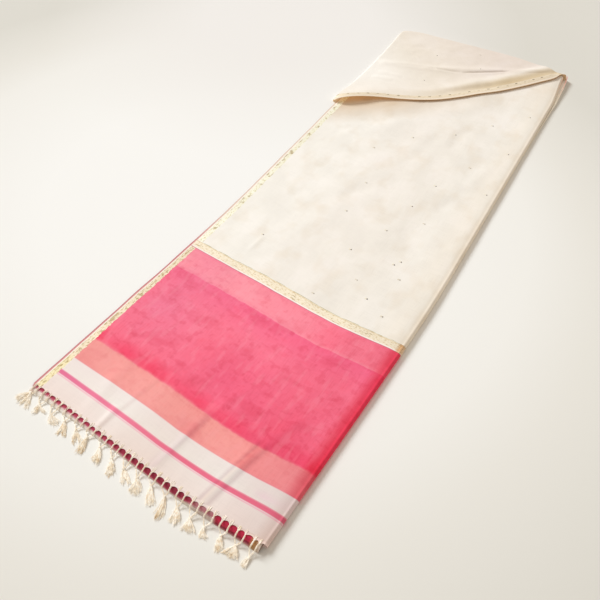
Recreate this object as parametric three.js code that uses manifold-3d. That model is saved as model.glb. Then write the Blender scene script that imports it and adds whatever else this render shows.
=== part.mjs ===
import * as THREE from 'three';
import Module from 'manifold-3d';
import { mergeVertices } from 'three/addons/utils/BufferGeometryUtils.js';

// A woven saree, folded in three along its length and in half across its width, laid flat.
// Its last turn is carried over the far end, so that a zari-edged triangle lies on top.
// Millimetres, Z up. Across runs from the paired selvedges on the left to the width fold on
// the right, and along runs from the knotted end to the far fold. The origin lies on the
// floor under the middle of the strip.

const wasm = await Module();
wasm.setup();

// Cut of the cloth and size of the folded strip
const CUT_WIDTH = 1160;
const CUT_LENGTH = 5320;
const LENGTHS = 3;
const FOLDED_WIDTH = CUT_WIDTH / 2;
const FAR_ALONG = Math.floor(CUT_LENGTH / LENGTHS) - 8;
const ORIGIN_ALONG = 860;

// Heights of the folded stack and thickness of a cloth wall
const LEFT_HEIGHT = 6;
const RIGHT_HEIGHT = 16;
const RISE_FROM = 120;
const RISE_TO = 500;
const WALL = 1.6;
const SEAM = 0.3;
const LAYER_GAP = 0.35;

// The strip isn't quite straight: past BEND_FROM it swings left by BEND_SLOPE
const BEND_FROM = 617;
const BEND_EASE = 120;
const BEND_SLOPE = -0.0598;

// The woven bands bow towards the knotted end
const BOW_ACROSS = 410;
const BOW_WIDTH = 130;
const BOW_AT_EDGE = 5;
const BOW_INSIDE = 16;
const BOW_FULL_FROM = 200;
const BOW_FADE_FROM = 520;
const BOW_FADE_TO = 1200;

// Width fold on the right: a soft shoulder, a turn under and a short tuck
const LEFT_INSET = 3;
const SHOULDER = 40;
const WAIST = 0.42;
const TURN_UNDER = 10;
const TUCK = 4;
const FAR_NARROWING = 14;
const NARROW_FROM = 1560;
const FLAT_STEPS = 12;
const SHOULDER_STEPS = 5;
const TURN_STEPS = 3;

// Hidden layers, whose edges show on the left
const CORE_LAYERS = 4;
const LAYER_GROOVE = 3;
const LAYER_ROUND = 0.2;
const LAYER_SPREAD = [0.4, 2.2, 1.0, 2.8];
const FAR_CLEAR = 12;

// The layer folded back under the knotted end
const NOSE_REACH = 15;
const NOSE_START = 3;
const NOSE_DEPTH = 44;
const NOSE_STEPS = 6;
const NOSE_COLUMNS = FLAT_STEPS + 2;
const TONGUE_START = 2;

// Stretches of the top sheet between its woven bands, from the knotted end
const STRETCHES = [
  { name: 'pallu_end_band', from: 0, to: 89, rows: 3, colour: 0xefe6da },
  { name: 'pallu_salmon_band', from: 89, to: 148, rows: 2, colour: 0xf4a298 },
  { name: 'pallu_pink_ground', from: 148, to: 408, rows: 5, colour: 0xf4637f },
  { name: 'pallu_light_band', from: 408, to: 471, rows: 2, colour: 0xfb929f },
  { name: 'zari_cross_band', from: 471, to: 500, rows: 1, colour: 0xe4d29a },
  { name: 'body_ground', from: 500, to: FAR_ALONG - FAR_CLEAR, rows: 19, colour: 0xf3eadf },
];

// Far fold as it lies, read across the strip
const FAR_EDGE = [
  { across: 0, along: 1736 },
  { across: 50, along: 1756 },
  { across: 160, along: 1767 },
  { across: 290, along: 1776 },
  { across: 400, along: 1778 },
  { across: 500, along: 1767 },
  { across: 576, along: 1761 },
];
const FAR_EASE_FROM = 1250;
const FIRST_ROW = STRETCHES[0].to / STRETCHES[0].rows;

// Soft folds of the top sheet: mid-point, length, turn from the strip's length and size
const SOFT_FOLDS = [
  { across: 130, along: 95, length: 170, turn: -4, height: 1.3, width: 16 },
  { across: 330, along: 250, length: 220, turn: 8, height: -1.0, width: 34 },
  { across: 470, along: 420, length: 260, turn: -6, height: 1.1, width: 30 },
  { across: 210, along: 700, length: 300, turn: 12, height: 1.2, width: 42 },
  { across: 420, along: 880, length: 340, turn: -9, height: -1.4, width: 38 },
  { across: 150, along: 980, length: 260, turn: 6, height: -0.9, width: 36 },
  { across: 330, along: 1130, length: 240, turn: -18, height: 1.3, width: 34 },
];

// Hem of the turned-over triangle, from the left edge to the far right corner
const HEM = [
  { across: -2, along: 1206, height: 10 },
  { across: 8, along: 1211, height: 17 },
  { across: 27, along: 1223, height: 23 },
  { across: 63, along: 1254, height: 23 },
  { across: 113, along: 1296, height: 16 },
  { across: 167, along: 1328, height: 12 },
  { across: 223, along: 1358, height: 13 },
  { across: 275, along: 1393, height: 15 },
  { across: 324, along: 1439, height: 17 },
  { across: 370, along: 1489, height: 18.5 },
  { across: 419, along: 1538, height: 20 },
  { across: 465, along: 1595, height: 21 },
  { across: 511, along: 1660, height: 21 },
  { across: 545, along: 1712, height: 21 },
  { across: 553, along: 1745, height: 21 },
];

// Where the triangle's two folds reach the floor, round the far left corner
const FLAP_OUTLINE = [
  { across: -10, along: 1214 },
  { across: -10, along: 1400 },
  { across: -10, along: 1600 },
  { across: -10, along: 1718 },
  { across: -7, along: 1730 },
  { across: 3, along: 1739 },
  { across: 50, along: 1756 },
  { across: 160, along: 1767 },
  { across: 290, along: 1776 },
  { across: 400, along: 1778 },
  { across: 500, along: 1767 },
  { across: 552, along: 1761 },
  { across: 574, along: 1758 },
];
const FLAP_CLEAR = 0.5;
const FLAP_EDGE = 10;
const FLAP_EDGE_SHARE = 0.55;
const HEM_LIFT_REACH = 60;
const FLAP_STATIONS = 28;
const FLAP_STEPS = 10;
const FLAP_EDGE_STEPS = 4;

// Ridges of the triangle: its main crease in three runs, and the roll beside the hem
const FLAP_RIDGES = [
  { across: 32, along: 1497, toAcross: 197, toAlong: 1560, height: 3, width: 16 },
  { across: 197, along: 1560, toAcross: 378, toAlong: 1657, height: 4, width: 17 },
  { across: 378, along: 1657, toAcross: 507, toAlong: 1730, height: 3, width: 15 },
  { across: 400, along: 1570, toAcross: 520, toAlong: 1722, height: 3.5, width: 18 },
];

// The triangle's cloth comes back up beside the width fold, as a low standing edge: how far
// off the fold it stands, how far its top leans back to it, and its height
const RETURN_EDGE = [
  { along: 1290, off: 0.6, lean: 0.2, height: 2.4 },
  { along: 1380, off: 1.8, lean: 0.5, height: 3.4 },
  { along: 1480, off: 4, lean: 1.2, height: 5 },
  { along: 1560, off: 6, lean: 1.8, height: 7 },
  { along: 1630, off: 10, lean: 3, height: 10 },
  { along: 1690, off: 14, lean: 3, height: 13 },
  { along: 1730, off: 14.5, lean: 3, height: 15 },
  { along: 1750, off: 13, lean: 2, height: 16 },
  { along: 1757.4, off: 8.6, lean: 0, height: 15 },
];

// Fringe: where each tassel's tip lies, from left to right
const TASSEL_TIPS = [
  { across: 8, along: -36 },
  { across: 61, along: -41 },
  { across: 103, along: -42 },
  { across: 137, along: -46 },
  { across: 166, along: -44 },
  { across: 187, along: -53 },
  { across: 230, along: -50 },
  { across: 268, along: -52 },
  { across: 302, along: -48 },
  { across: 332, along: -46 },
  { across: 361, along: -52 },
  { across: 395, along: -52 },
  { across: 424, along: -50 },
  { across: 451, along: -50 },
  { across: 474, along: -45 },
  { across: 509, along: -48 },
  { across: 535, along: -46 },
  { across: 561, along: -46 },
];
const KNOT_FIRST = 14;
const KNOT_LAST = 564;
const KNOT_ALONG = -20.5;
const KNOT_HEIGHT = 3.1;
const KNOT_SIDES = 6;
const KNOT_RINGS = 4;
const KNOT_RADII = { across: 2.5, along: 3.2, height: 2.4 };
const LEG_SPREAD = 7.5;
const LEG_INSET = 6;
const LEG_LAST = FOLDED_WIDTH - SHOULDER / 3;
const LEG_SEAT = 0.6;
const LEG_GATHER = 0.95;
const LEG_RADIUS = 0.95;
const LEG_CLEAR = 1.9;
const LEG_ANGLES = [88, 58, 30, 2];
const STRAND_SIDES = 3;
const LOCKS = 8;
const LOCK_SPREAD = 34;
const LOCK_RADIUS = 0.85;
const LOCK_ROOT_RADIUS = 0.5;
const LOCK_TIP_RADIUS = 0.45;
const LOCK_LENGTH_SCATTER = 0.08;
const LOWER_LOCK_HEIGHTS = [KNOT_HEIGHT, 2.2, 1.5, 1.1];
const UPPER_LOCK_HEIGHTS = [KNOT_HEIGHT, 4.2, 3.4, 2.6];
const LOCK_RADII = [LOCK_ROOT_RADIUS, LOCK_RADIUS, LOCK_RADIUS, LOCK_TIP_RADIUS];

const CREAM = 0xf1e8dc;
const TASSEL_CREAM = 0xe9dec9;
const UNDER_PINK = 0xb62a46;

const smooth = (from, to, at) => THREE.MathUtils.smoothstep(at, from, to);
const bump = (distance, width) => Math.exp(-((distance / width) ** 2));

// A value read from a table with straight runs between its rows
function readTable(table, key, value, at) {
  const last = table.length - 1;
  if (at <= table[0][key]) return table[0][value];
  if (at >= table[last][key]) return table[last][value];
  const i = table.findIndex((row) => row[key] > at) - 1;
  const share = (at - table[i][key]) / (table[i + 1][key] - table[i][key]);
  return THREE.MathUtils.lerp(table[i][value], table[i + 1][value], share);
}

function bend(along) {
  return BEND_SLOPE * BEND_EASE * 0.5 * Math.log1p(Math.exp((2 * (along - BEND_FROM)) / BEND_EASE));
}

function bow(across, along) {
  const fade = 1 - smooth(BOW_FADE_FROM, BOW_FADE_TO, along);
  const size = THREE.MathUtils.lerp(BOW_AT_EDGE, BOW_INSIDE, smooth(0, BOW_FULL_FROM, along));
  return -size * fade * bump(across - BOW_ACROSS, BOW_WIDTH);
}

// Point of the strip in the part's frame, from its true place along the strip
function placeTrue(across, along, height) {
  return new THREE.Vector3(across + bend(along) - FOLDED_WIDTH / 2, along - ORIGIN_ALONG, height);
}

// The same from its place along the weave, which bows, and which ends on the far fold
function place(across, along, height) {
  const drift = readTable(FAR_EDGE, 'across', 'along', across) - FAR_ALONG;
  const trueAlong = along + bow(across, along) + drift * smooth(FAR_EASE_FROM, FAR_ALONG, along);
  return placeTrue(across, trueAlong, height);
}

const stackWidth = (along) => FOLDED_WIDTH - FAR_NARROWING * smooth(NARROW_FROM, FAR_ALONG, along);

function softFolds(across, along) {
  return SOFT_FOLDS.reduce((sum, fold) => {
    const turn = THREE.MathUtils.degToRad(fold.turn);
    const side = (across - fold.across) * Math.cos(turn) - (along - fold.along) * Math.sin(turn);
    const run = (across - fold.across) * Math.sin(turn) + (along - fold.along) * Math.cos(turn);
    return sum + fold.height * bump(side, fold.width) * bump(run, fold.length / 2);
  }, 0);
}

const crownHeight = (across) =>
  THREE.MathUtils.lerp(LEFT_HEIGHT, RIGHT_HEIGHT, smooth(RISE_FROM, RISE_TO, across));

// Outer face of the top sheet, as [across, height] from the left edge round to the tuck
function skinSection(along) {
  const width = stackWidth(along);
  const shoulder = width - SHOULDER;
  const points = [];
  for (let i = 0; i <= FLAT_STEPS; i++) {
    const across = THREE.MathUtils.lerp(LEFT_INSET, shoulder, i / FLAT_STEPS);
    points.push([across, crownHeight(across) + softFolds(across, along)]);
  }
  const crown = points[FLAT_STEPS][1];
  const waist = crown * WAIST;
  for (let i = 1; i <= SHOULDER_STEPS; i++) {
    const angle = (Math.PI / 2) * (1 - i / SHOULDER_STEPS);
    points.push([shoulder + SHOULDER * Math.cos(angle), waist + (crown - waist) * Math.sin(angle)]);
  }
  for (let i = 1; i <= TURN_STEPS; i++) {
    const angle = ((Math.PI / 2) * i) / TURN_STEPS;
    points.push([width - TURN_UNDER * (1 - Math.cos(angle)), waist * (1 - Math.sin(angle))]);
  }
  points.push([width - TURN_UNDER - TUCK, 0]);
  return points;
}

// The same section moved inwards by a depth, square to its run
function moveInwards(points, depth) {
  return points.map((point, i) => {
    const before = points[Math.max(i - 1, 0)];
    const after = points[Math.min(i + 1, points.length - 1)];
    const run = [after[0] - before[0], after[1] - before[1]];
    const size = Math.hypot(...run);
    return [point[0] + (run[1] / size) * depth, point[1] - (run[0] / size) * depth];
  });
}

// Closed body from a grid of vertices, its outer rows first and its inner rows after them
function wallGeometry(outer, inner) {
  const rows = outer.length;
  const columns = outer[0].length;
  const inside = rows * columns;
  const positions = [...outer.flat(), ...inner.flat()].flatMap((point) => point.toArray());
  const index = [];
  const quad = (a, b, c, d) => index.push(a, b, c, a, c, d);
  const at = (row, column) => row * columns + column;
  for (let r = 0; r < rows - 1; r++) {
    for (let c = 0; c < columns - 1; c++) {
      quad(at(r, c), at(r, c + 1), at(r + 1, c + 1), at(r + 1, c));
      quad(inside + at(r, c), inside + at(r + 1, c), inside + at(r + 1, c + 1), inside + at(r, c + 1));
    }
    quad(at(r, 0), at(r + 1, 0), inside + at(r + 1, 0), inside + at(r, 0));
    const end = columns - 1;
    quad(at(r + 1, end), at(r, end), inside + at(r, end), inside + at(r + 1, end));
  }
  for (let c = 0; c < columns - 1; c++) {
    quad(at(0, c + 1), at(0, c), inside + at(0, c), inside + at(0, c + 1));
    const end = rows - 1;
    quad(at(end, c), at(end, c + 1), inside + at(end, c + 1), inside + at(end, c));
  }
  const geometry = new THREE.BufferGeometry();
  geometry.setAttribute('position', new THREE.Float32BufferAttribute(positions, 3));
  geometry.setIndex(index);
  return geometry;
}

// Closed body through loops of the same count of points, with its two ends filled
function loftGeometry(loops) {
  const count = loops[0].length;
  const positions = loops.flat().flatMap((point) => point.toArray());
  const index = [];
  for (let r = 0; r < loops.length - 1; r++) {
    for (let c = 0; c < count; c++) {
      const next = (c + 1) % count;
      const [a, b, d, e] = [r * count + c, r * count + next, (r + 1) * count + next, (r + 1) * count + c];
      index.push(a, b, d, a, d, e);
    }
  }
  const fillEnd = (loop, first, isStart) => {
    const flat = loop.map((point) => new THREE.Vector2(point.x, point.z));
    for (const corners of THREE.ShapeUtils.triangulateShape(flat, [])) {
      const turnsLeft = THREE.ShapeUtils.area(corners.map((corner) => flat[corner])) > 0;
      const ordered = turnsLeft === isStart ? corners : [...corners].reverse();
      index.push(...ordered.map((corner) => first + corner));
    }
  };
  fillEnd(loops[0], 0, true);
  fillEnd(loops.at(-1), (loops.length - 1) * count, false);
  const geometry = new THREE.BufferGeometry();
  geometry.setAttribute('position', new THREE.Float32BufferAttribute(positions, 3));
  geometry.setIndex(index);
  return geometry;
}

// A tapering strand through points, closed at both ends
function strandGeometry(points, radii, sides) {
  const acrossAxis = new THREE.Vector3(1, 0, 0);
  const rings = points.map((point, i) => {
    const before = points[Math.max(i - 1, 0)];
    const after = points[Math.min(i + 1, points.length - 1)];
    const run = after.clone().sub(before).normalize();
    const side = acrossAxis.clone().addScaledVector(run, -run.x).normalize();
    const lift = new THREE.Vector3().crossVectors(run, side);
    return Array.from({ length: sides }, (_, k) => {
      const angle = (2 * Math.PI * k) / sides;
      return point.clone()
        .addScaledVector(side, radii[i] * Math.cos(angle))
        .addScaledVector(lift, radii[i] * Math.sin(angle));
    });
  });
  const index = [];
  for (let r = 0; r < rings.length - 1; r++) {
    for (let k = 0; k < sides; k++) {
      const next = (k + 1) % sides;
      const [a, b, c, d] = [r * sides + k, r * sides + next, (r + 1) * sides + next, (r + 1) * sides + k];
      index.push(a, b, c, a, c, d);
    }
  }
  const last = (rings.length - 1) * sides;
  for (let k = 1; k < sides - 1; k++) {
    index.push(0, k + 1, k);
    index.push(last, last + k, last + k + 1);
  }
  const geometry = new THREE.BufferGeometry();
  const positions = rings.flat().flatMap((point) => point.toArray());
  geometry.setAttribute('position', new THREE.Float32BufferAttribute(positions, 3));
  geometry.setIndex(index);
  return geometry;
}

function toSolid(geometry) {
  const bare = geometry.clone();
  bare.deleteAttribute('normal');
  bare.deleteAttribute('uv');
  const merged = mergeVertices(bare);
  return new wasm.Manifold(new wasm.Mesh({
    numProp: 3,
    vertProperties: Float32Array.from(merged.attributes.position.array),
    triVerts: Uint32Array.from(merged.index.array),
  }));
}

function fuse(geometries) {
  const solid = geometries.map(toSolid).reduce((sum, part) => sum.add(part));
  const mesh = solid.getMesh();
  const geometry = new THREE.BufferGeometry();
  geometry.setAttribute('position', new THREE.BufferAttribute(mesh.vertProperties, 3));
  geometry.setIndex(new THREE.BufferAttribute(mesh.triVerts, 1));
  return geometry;
}

const saree = new THREE.Group();

function addPiece(name, geometry, colour, roughness = 0.85) {
  geometry.computeVertexNormals();
  const material = new THREE.MeshStandardMaterial({ color: colour, roughness, metalness: 0 });
  const mesh = new THREE.Mesh(geometry, material);
  mesh.name = name;
  saree.add(mesh);
}

const rowsOf = (from, to, rows) =>
  Array.from({ length: rows + 1 }, (_, i) => THREE.MathUtils.lerp(from, to, i / rows));

// Top sheet: one wall for each stretch, a seam gap apart
function stretchGeometry(stretch, isFirst) {
  const start = isFirst ? stretch.from : stretch.from + SEAM / 2;
  const rows = rowsOf(stretch.from, stretch.to, stretch.rows);
  rows[0] = start;
  rows[stretch.rows] = stretch.to - SEAM / 2;
  const outer = rows.map((along) => skinSection(along).map(([u, z]) => place(u, along, z)));
  const inner = rows.map((along) =>
    moveInwards(skinSection(along), WALL).map(([u, z]) => place(u, along, Math.max(z, 0))));
  return wallGeometry(outer, inner);
}

STRETCHES.forEach((stretch, i) => {
  addPiece(stretch.name, stretchGeometry(stretch, i === 0), stretch.colour);
});

// Hidden layers: a rounded solid inside the top sheet, with its layers' edges on the left
function coreSection(along) {
  const under = moveInwards(skinSection(along), WALL + LAYER_GAP);
  const tuckEnd = under.at(-1);
  const top = under[0][1];
  const section = [...under, [tuckEnd[0] - LAYER_GAP, tuckEnd[1]], [tuckEnd[0] - LAYER_GAP, 0]];
  for (let layer = 0; layer < CORE_LAYERS; layer++) {
    const edge = LEFT_INSET + LAYER_SPREAD[layer];
    const low = (top * layer) / CORE_LAYERS;
    const high = (top * (layer + 1)) / CORE_LAYERS;
    const round = (high - low) * LAYER_ROUND;
    section.push([edge, low + (layer ? round : 0)]);
    if (layer < CORE_LAYERS - 1) {
      section.push([edge, high - round]);
      section.push([edge + LAYER_GROOVE, high]);
    }
  }
  return section.map(([u, z]) => place(u, along, z));
}

// Under the knotted end the hidden layers thin to a tongue inside the folded-back layer
function noseTop(column, along) {
  return moveInwards(skinSection(along), WALL + LAYER_GAP)[column];
}

function tongueGeometry() {
  const columns = rowsOf(0, NOSE_COLUMNS, NOSE_COLUMNS);
  const clear = WALL + LAYER_GAP;
  const alongs = [TONGUE_START, FIRST_ROW, NOSE_DEPTH + TONGUE_START];
  const outer = alongs.map((along) => columns.map((column) => {
    const [u, z] = noseTop(column, along);
    return place(u, along, z - clear);
  }));
  const inner = alongs.map((along) =>
    columns.map((column) => place(noseTop(column, along)[0], along, clear)));
  return wallGeometry(outer, inner);
}

const coreRows = [
  NOSE_DEPTH + LAYER_GAP,
  ...STRETCHES.flatMap((stretch) => rowsOf(stretch.from, stretch.to, stretch.rows).slice(1)),
].filter((along) => along > NOSE_DEPTH);
addPiece('hidden_layers', fuse([loftGeometry(coreRows.map(coreSection)), tongueGeometry()]), CREAM);

// Folded-back layer whose nose stands out under the knotted end
function noseSection(column) {
  const tops = [NOSE_DEPTH, FIRST_ROW, 0, -NOSE_START].map((along) => [along, noseTop(column, along)[1]]);
  const half = tops.at(-1)[1] / 2;
  const points = [...tops];
  for (let i = 1; i <= NOSE_STEPS; i++) {
    const angle = Math.PI / 2 - (Math.PI * i) / NOSE_STEPS;
    points.push([
      -NOSE_START - (NOSE_REACH - NOSE_START) * Math.cos(angle),
      half * (1 + Math.sin(angle)),
    ]);
  }
  points.push([NOSE_DEPTH / 2, 0], [NOSE_DEPTH, 0]);
  return points;
}

function noseGeometry() {
  const columns = rowsOf(0, NOSE_COLUMNS, NOSE_COLUMNS);
  const inwards = (points) => moveInwards(points, -WALL);
  const toPoints = (column, points) => {
    const across = noseTop(column, 0)[0];
    return points.map(([along, z]) => place(across, along, Math.max(z, 0)));
  };
  const outer = columns.map((column) => toPoints(column, noseSection(column)));
  const inner = columns.map((column) => toPoints(column, inwards(noseSection(column))));
  return wallGeometry(outer, inner);
}

addPiece('folded_back_layer', noseGeometry(), UNDER_PINK);

// Turned-over triangle: fall lines run from its hem to its folds, and down to the floor
const curveOf = (table, height) => new THREE.CatmullRomCurve3(
  table.map((row) => new THREE.Vector3(row.across, row.along, height ?? row.height)),
  false,
  'centripetal',
);

function flapRidges(across, along) {
  const point = new THREE.Vector3(across, along, 0);
  const nearest = new THREE.Vector3();
  return FLAP_RIDGES.reduce((highest, ridge) => {
    const line = new THREE.Line3(
      new THREE.Vector3(ridge.across, ridge.along, 0),
      new THREE.Vector3(ridge.toAcross, ridge.toAlong, 0),
    );
    line.closestPointToPoint(point, true, nearest);
    return Math.max(highest, ridge.height * bump(point.distanceTo(nearest), ridge.width));
  }, 0);
}

function fallLine(hem, foot) {
  const run = new THREE.Vector2(foot.x - hem.x, foot.y - hem.y);
  const length = run.length();
  const edge = Math.min(FLAP_EDGE, length * FLAP_EDGE_SHARE);
  const base = (across) => crownHeight(across) + FLAP_CLEAR + WALL;
  const lift = hem.z - base(hem.x);
  const heightAt = (distance) => {
    const [across, along] = [hem.x + (run.x * distance) / length, hem.y + (run.y * distance) / length];
    return base(across) + lift * bump(distance, HEM_LIFT_REACH) + flapRidges(across, along);
  };
  const steps = [];
  for (let i = 0; i <= FLAP_STEPS; i++) {
    const distance = ((length - edge) * i) / FLAP_STEPS;
    steps.push([distance, heightAt(distance)]);
  }
  const brow = steps.at(-1)[1];
  for (let i = 1; i <= FLAP_EDGE_STEPS; i++) {
    const angle = ((Math.PI / 2) * i) / FLAP_EDGE_STEPS;
    const height = i === FLAP_EDGE_STEPS ? 0 : brow * Math.cos(angle);
    steps.push([length - edge * (1 - Math.sin(angle)), height]);
  }
  return steps.map(([distance, height]) =>
    placeTrue(hem.x + (run.x * distance) / length, hem.y + (run.y * distance) / length, height));
}

function flapGeometry() {
  const hem = curveOf(HEM);
  const outline = curveOf(FLAP_OUTLINE, 0);
  const stations = rowsOf(0, 1, FLAP_STATIONS);
  const outer = stations.map((share) => fallLine(hem.getPointAt(share), outline.getPointAt(share)));
  const inner = outer.map((line, r) => line.map((point, c) => {
    const alongHem = outer[Math.min(r + 1, FLAP_STATIONS)][c].clone().sub(outer[Math.max(r - 1, 0)][c]);
    const downLine = line[Math.min(c + 1, line.length - 1)].clone().sub(line[Math.max(c - 1, 0)]);
    const normal = new THREE.Vector3().crossVectors(alongHem, downLine).normalize();
    const moved = point.clone().addScaledVector(normal, -WALL);
    if (c === line.length - 1) moved.z = 0;
    return moved;
  }));
  return wallGeometry(inner, outer);
}

addPiece('turned_over_triangle', flapGeometry(), 0xefe5d6);

// Standing edge beside the width fold
function returnEdgeGeometry() {
  const face = (offset) => RETURN_EDGE.map((row) => {
    const across = stackWidth(row.along) + row.off + offset;
    return [0, 0.5, 1].map((share) =>
      placeTrue(across - row.lean * share * share, row.along, row.height * share));
  });
  return wallGeometry(face(0), face(WALL));
}

addPiece('return_edge', returnEdgeGeometry(), 0xe9cfc4);

// Fringe: each tassel is a knot with two warp bunches above it and loose locks below it
const scatter = (a, b) => {
  const value = Math.sin(a * 12.9898 + b * 78.233) * 43758.5453;
  return 2 * (value - Math.floor(value)) - 1;
};

const noseTops = moveInwards(skinSection(0), WALL + LAYER_GAP)
  .slice(0, FLAT_STEPS + SHOULDER_STEPS)
  .map(([across, height]) => ({ across, height }));

function legPoints(knot, across) {
  const half = readTable(noseTops, 'across', 'height', across) / 2;
  const points = [place(across, -SEAM, 2 * half + LAYER_GAP + WALL * LEG_SEAT)];
  for (const degrees of LEG_ANGLES) {
    const angle = THREE.MathUtils.degToRad(degrees);
    const reach = NOSE_REACH - NOSE_START + LEG_CLEAR;
    const share = LEG_GATHER * (1 - Math.sin(angle));
    points.push(place(
      THREE.MathUtils.lerp(across, knot.across, share),
      -NOSE_START - reach * Math.cos(angle),
      half + (half + LEG_CLEAR) * Math.sin(angle),
    ));
  }
  points.push(place(knot.across, KNOT_ALONG, KNOT_HEIGHT));
  return points;
}

function lockPoints(knot, tip, lock) {
  const root = place(knot.across, KNOT_ALONG, KNOT_HEIGHT);
  const end = place(tip.across, tip.along, 0);
  const reach = new THREE.Vector2(end.x - root.x, end.y - root.y);
  const fan = THREE.MathUtils.degToRad((LOCK_SPREAD * (lock - (LOCKS - 1) / 2)) / (LOCKS - 1));
  reach.rotateAround(new THREE.Vector2(), fan);
  reach.multiplyScalar(1 + LOCK_LENGTH_SCATTER * scatter(knot.across, lock));
  const heights = lock % 2 ? UPPER_LOCK_HEIGHTS : LOWER_LOCK_HEIGHTS;
  return heights.map((height, i) => {
    const share = i / (heights.length - 1);
    return new THREE.Vector3(root.x + reach.x * share, root.y + reach.y * share, height);
  });
}

function tasselGeometry(tip, number) {
  const share = number / (TASSEL_TIPS.length - 1);
  const knot = { across: THREE.MathUtils.lerp(KNOT_FIRST, KNOT_LAST, share) };
  const head = new THREE.SphereGeometry(1, KNOT_SIDES, KNOT_RINGS);
  head.scale(KNOT_RADII.across, KNOT_RADII.along, KNOT_RADII.height);
  const centre = place(knot.across, KNOT_ALONG, KNOT_HEIGHT);
  head.translate(centre.x, centre.y, centre.z);
  const parts = [head];
  for (const side of [-1, 1]) {
    const across = THREE.MathUtils.clamp(knot.across + side * LEG_SPREAD, LEG_INSET, LEG_LAST);
    const points = legPoints(knot, across);
    parts.push(strandGeometry(points, points.map(() => LEG_RADIUS), STRAND_SIDES));
  }
  for (let lock = 0; lock < LOCKS; lock++) {
    const points = lockPoints(knot, tip, lock);
    parts.push(strandGeometry(points, LOCK_RADII, STRAND_SIDES));
  }
  return fuse(parts);
}

TASSEL_TIPS.forEach((tip, number) => {
  const name = `tassel_${String(number + 1).padStart(2, '0')}`;
  addPiece(name, tasselGeometry(tip, number), TASSEL_CREAM, 0.9);
});

export default saree;
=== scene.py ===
import math
import random
from functools import partial

import bmesh
import bpy
from mathutils import Matrix, Vector, noise


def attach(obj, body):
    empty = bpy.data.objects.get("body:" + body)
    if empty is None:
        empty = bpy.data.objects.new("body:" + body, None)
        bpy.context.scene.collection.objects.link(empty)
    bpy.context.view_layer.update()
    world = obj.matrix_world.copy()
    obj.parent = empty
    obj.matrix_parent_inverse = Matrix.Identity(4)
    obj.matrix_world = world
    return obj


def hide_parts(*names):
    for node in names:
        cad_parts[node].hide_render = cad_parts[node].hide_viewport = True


# A handloom cotton saree, folded in three along its length and in half across its width and
# laid flat, with its pallu and knotted fringe towards the camera. Its last turn is carried over
# the far end as a triangle with a zari hem.
# Lengths are in millimetres until cloth() and strand curves turn them to metres. "Across" runs
# from the selvedges on the left to the width fold on the right, "along" from the knotted end.

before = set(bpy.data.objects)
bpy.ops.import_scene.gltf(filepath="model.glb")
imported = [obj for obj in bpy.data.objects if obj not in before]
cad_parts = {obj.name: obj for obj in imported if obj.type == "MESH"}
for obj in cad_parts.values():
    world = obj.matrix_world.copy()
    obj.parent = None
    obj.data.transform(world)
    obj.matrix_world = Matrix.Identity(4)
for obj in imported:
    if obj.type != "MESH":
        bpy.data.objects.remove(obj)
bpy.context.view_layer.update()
scene = bpy.context.scene
MM = 0.001

# Sizes shared with the part

FOLDED_WIDTH = 580
FAR_ALONG = 1765
FAR_CLEAR = 12
ORIGIN_ALONG = 860
LEFT_HEIGHT = 6
RIGHT_HEIGHT = 16
RISE_FROM = 120
RISE_TO = 500
LEFT_INSET = 3

BEND_FROM = 617
BEND_EASE = 120
BEND_SLOPE = -0.0598
BOW_ACROSS = 410
BOW_WIDTH = 130
BOW_AT_EDGE = 5
BOW_INSIDE = 16
BOW_FULL_FROM = 200
BOW_FADE = (520, 1200)

SHOULDER = 40
WAIST = 0.42
TURN_UNDER = 10
TUCK = 4
FAR_NARROWING = 14
NARROW_FROM = 1560
FAR_EASE_FROM = 1250
FAR_EDGE = ((0, 1736), (50, 1756), (160, 1767), (290, 1776), (400, 1778), (500, 1767), (576, 1761))

NOSE_REACH = 15
NOSE_START = 3

# Soft folds: across, along, length, turn in degrees, height, width
SOFT_FOLDS = (
    (130, 95, 170, -4, 1.3, 16), (330, 250, 220, 8, -1.0, 34), (470, 420, 260, -6, 1.1, 30),
    (210, 700, 300, 12, 1.2, 42), (420, 880, 340, -9, -1.4, 38), (150, 980, 260, 6, -0.9, 36),
    (330, 1130, 240, -18, 1.3, 34),
)
# Triangle's hem: across, along, height. Its outline on the floor: across, along
HEM = (
    (-2, 1206, 10), (8, 1211, 17), (27, 1223, 23), (63, 1254, 23), (113, 1296, 16),
    (167, 1328, 12), (223, 1358, 13), (275, 1393, 15), (324, 1439, 17), (370, 1489, 18.5),
    (419, 1538, 20), (465, 1595, 21), (511, 1660, 21), (545, 1712, 21), (553, 1745, 21),
)
FLAP_OUTLINE = (
    (-10, 1214), (-6, 1290), (-3, 1400), (-3, 1520), (-6, 1620), (-10, 1718), (-7, 1730), (3, 1739),
    (50, 1756), (160, 1767), (290, 1776), (400, 1778), (500, 1767), (552, 1761), (574, 1758),
)
FLAP_BASE = 2.1
FLAP_EDGE = 10
FLAP_EDGE_SHARE = 0.55
HEM_LIFT_REACH = 60
# Its ridges: from across, along, to across, along, height, width
FLAP_RIDGES = (
    (32, 1497, 197, 1560, 3, 16), (197, 1560, 378, 1657, 4, 17), (378, 1657, 507, 1730, 3, 15),
    (400, 1570, 520, 1722, 3.5, 18),
)
# Standing edge beside the width fold: along, off, lean, height
RETURN_EDGE = (
    (1290, 0.6, 0.2, 2.4), (1380, 1.8, 0.5, 3.4), (1480, 4, 1.2, 5), (1560, 6, 1.8, 7),
    (1630, 10, 3, 10), (1690, 14, 3, 13), (1730, 14.5, 3, 15), (1750, 13, 2, 16),
    (1757.4, 8.6, 0, 15),
)
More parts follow.
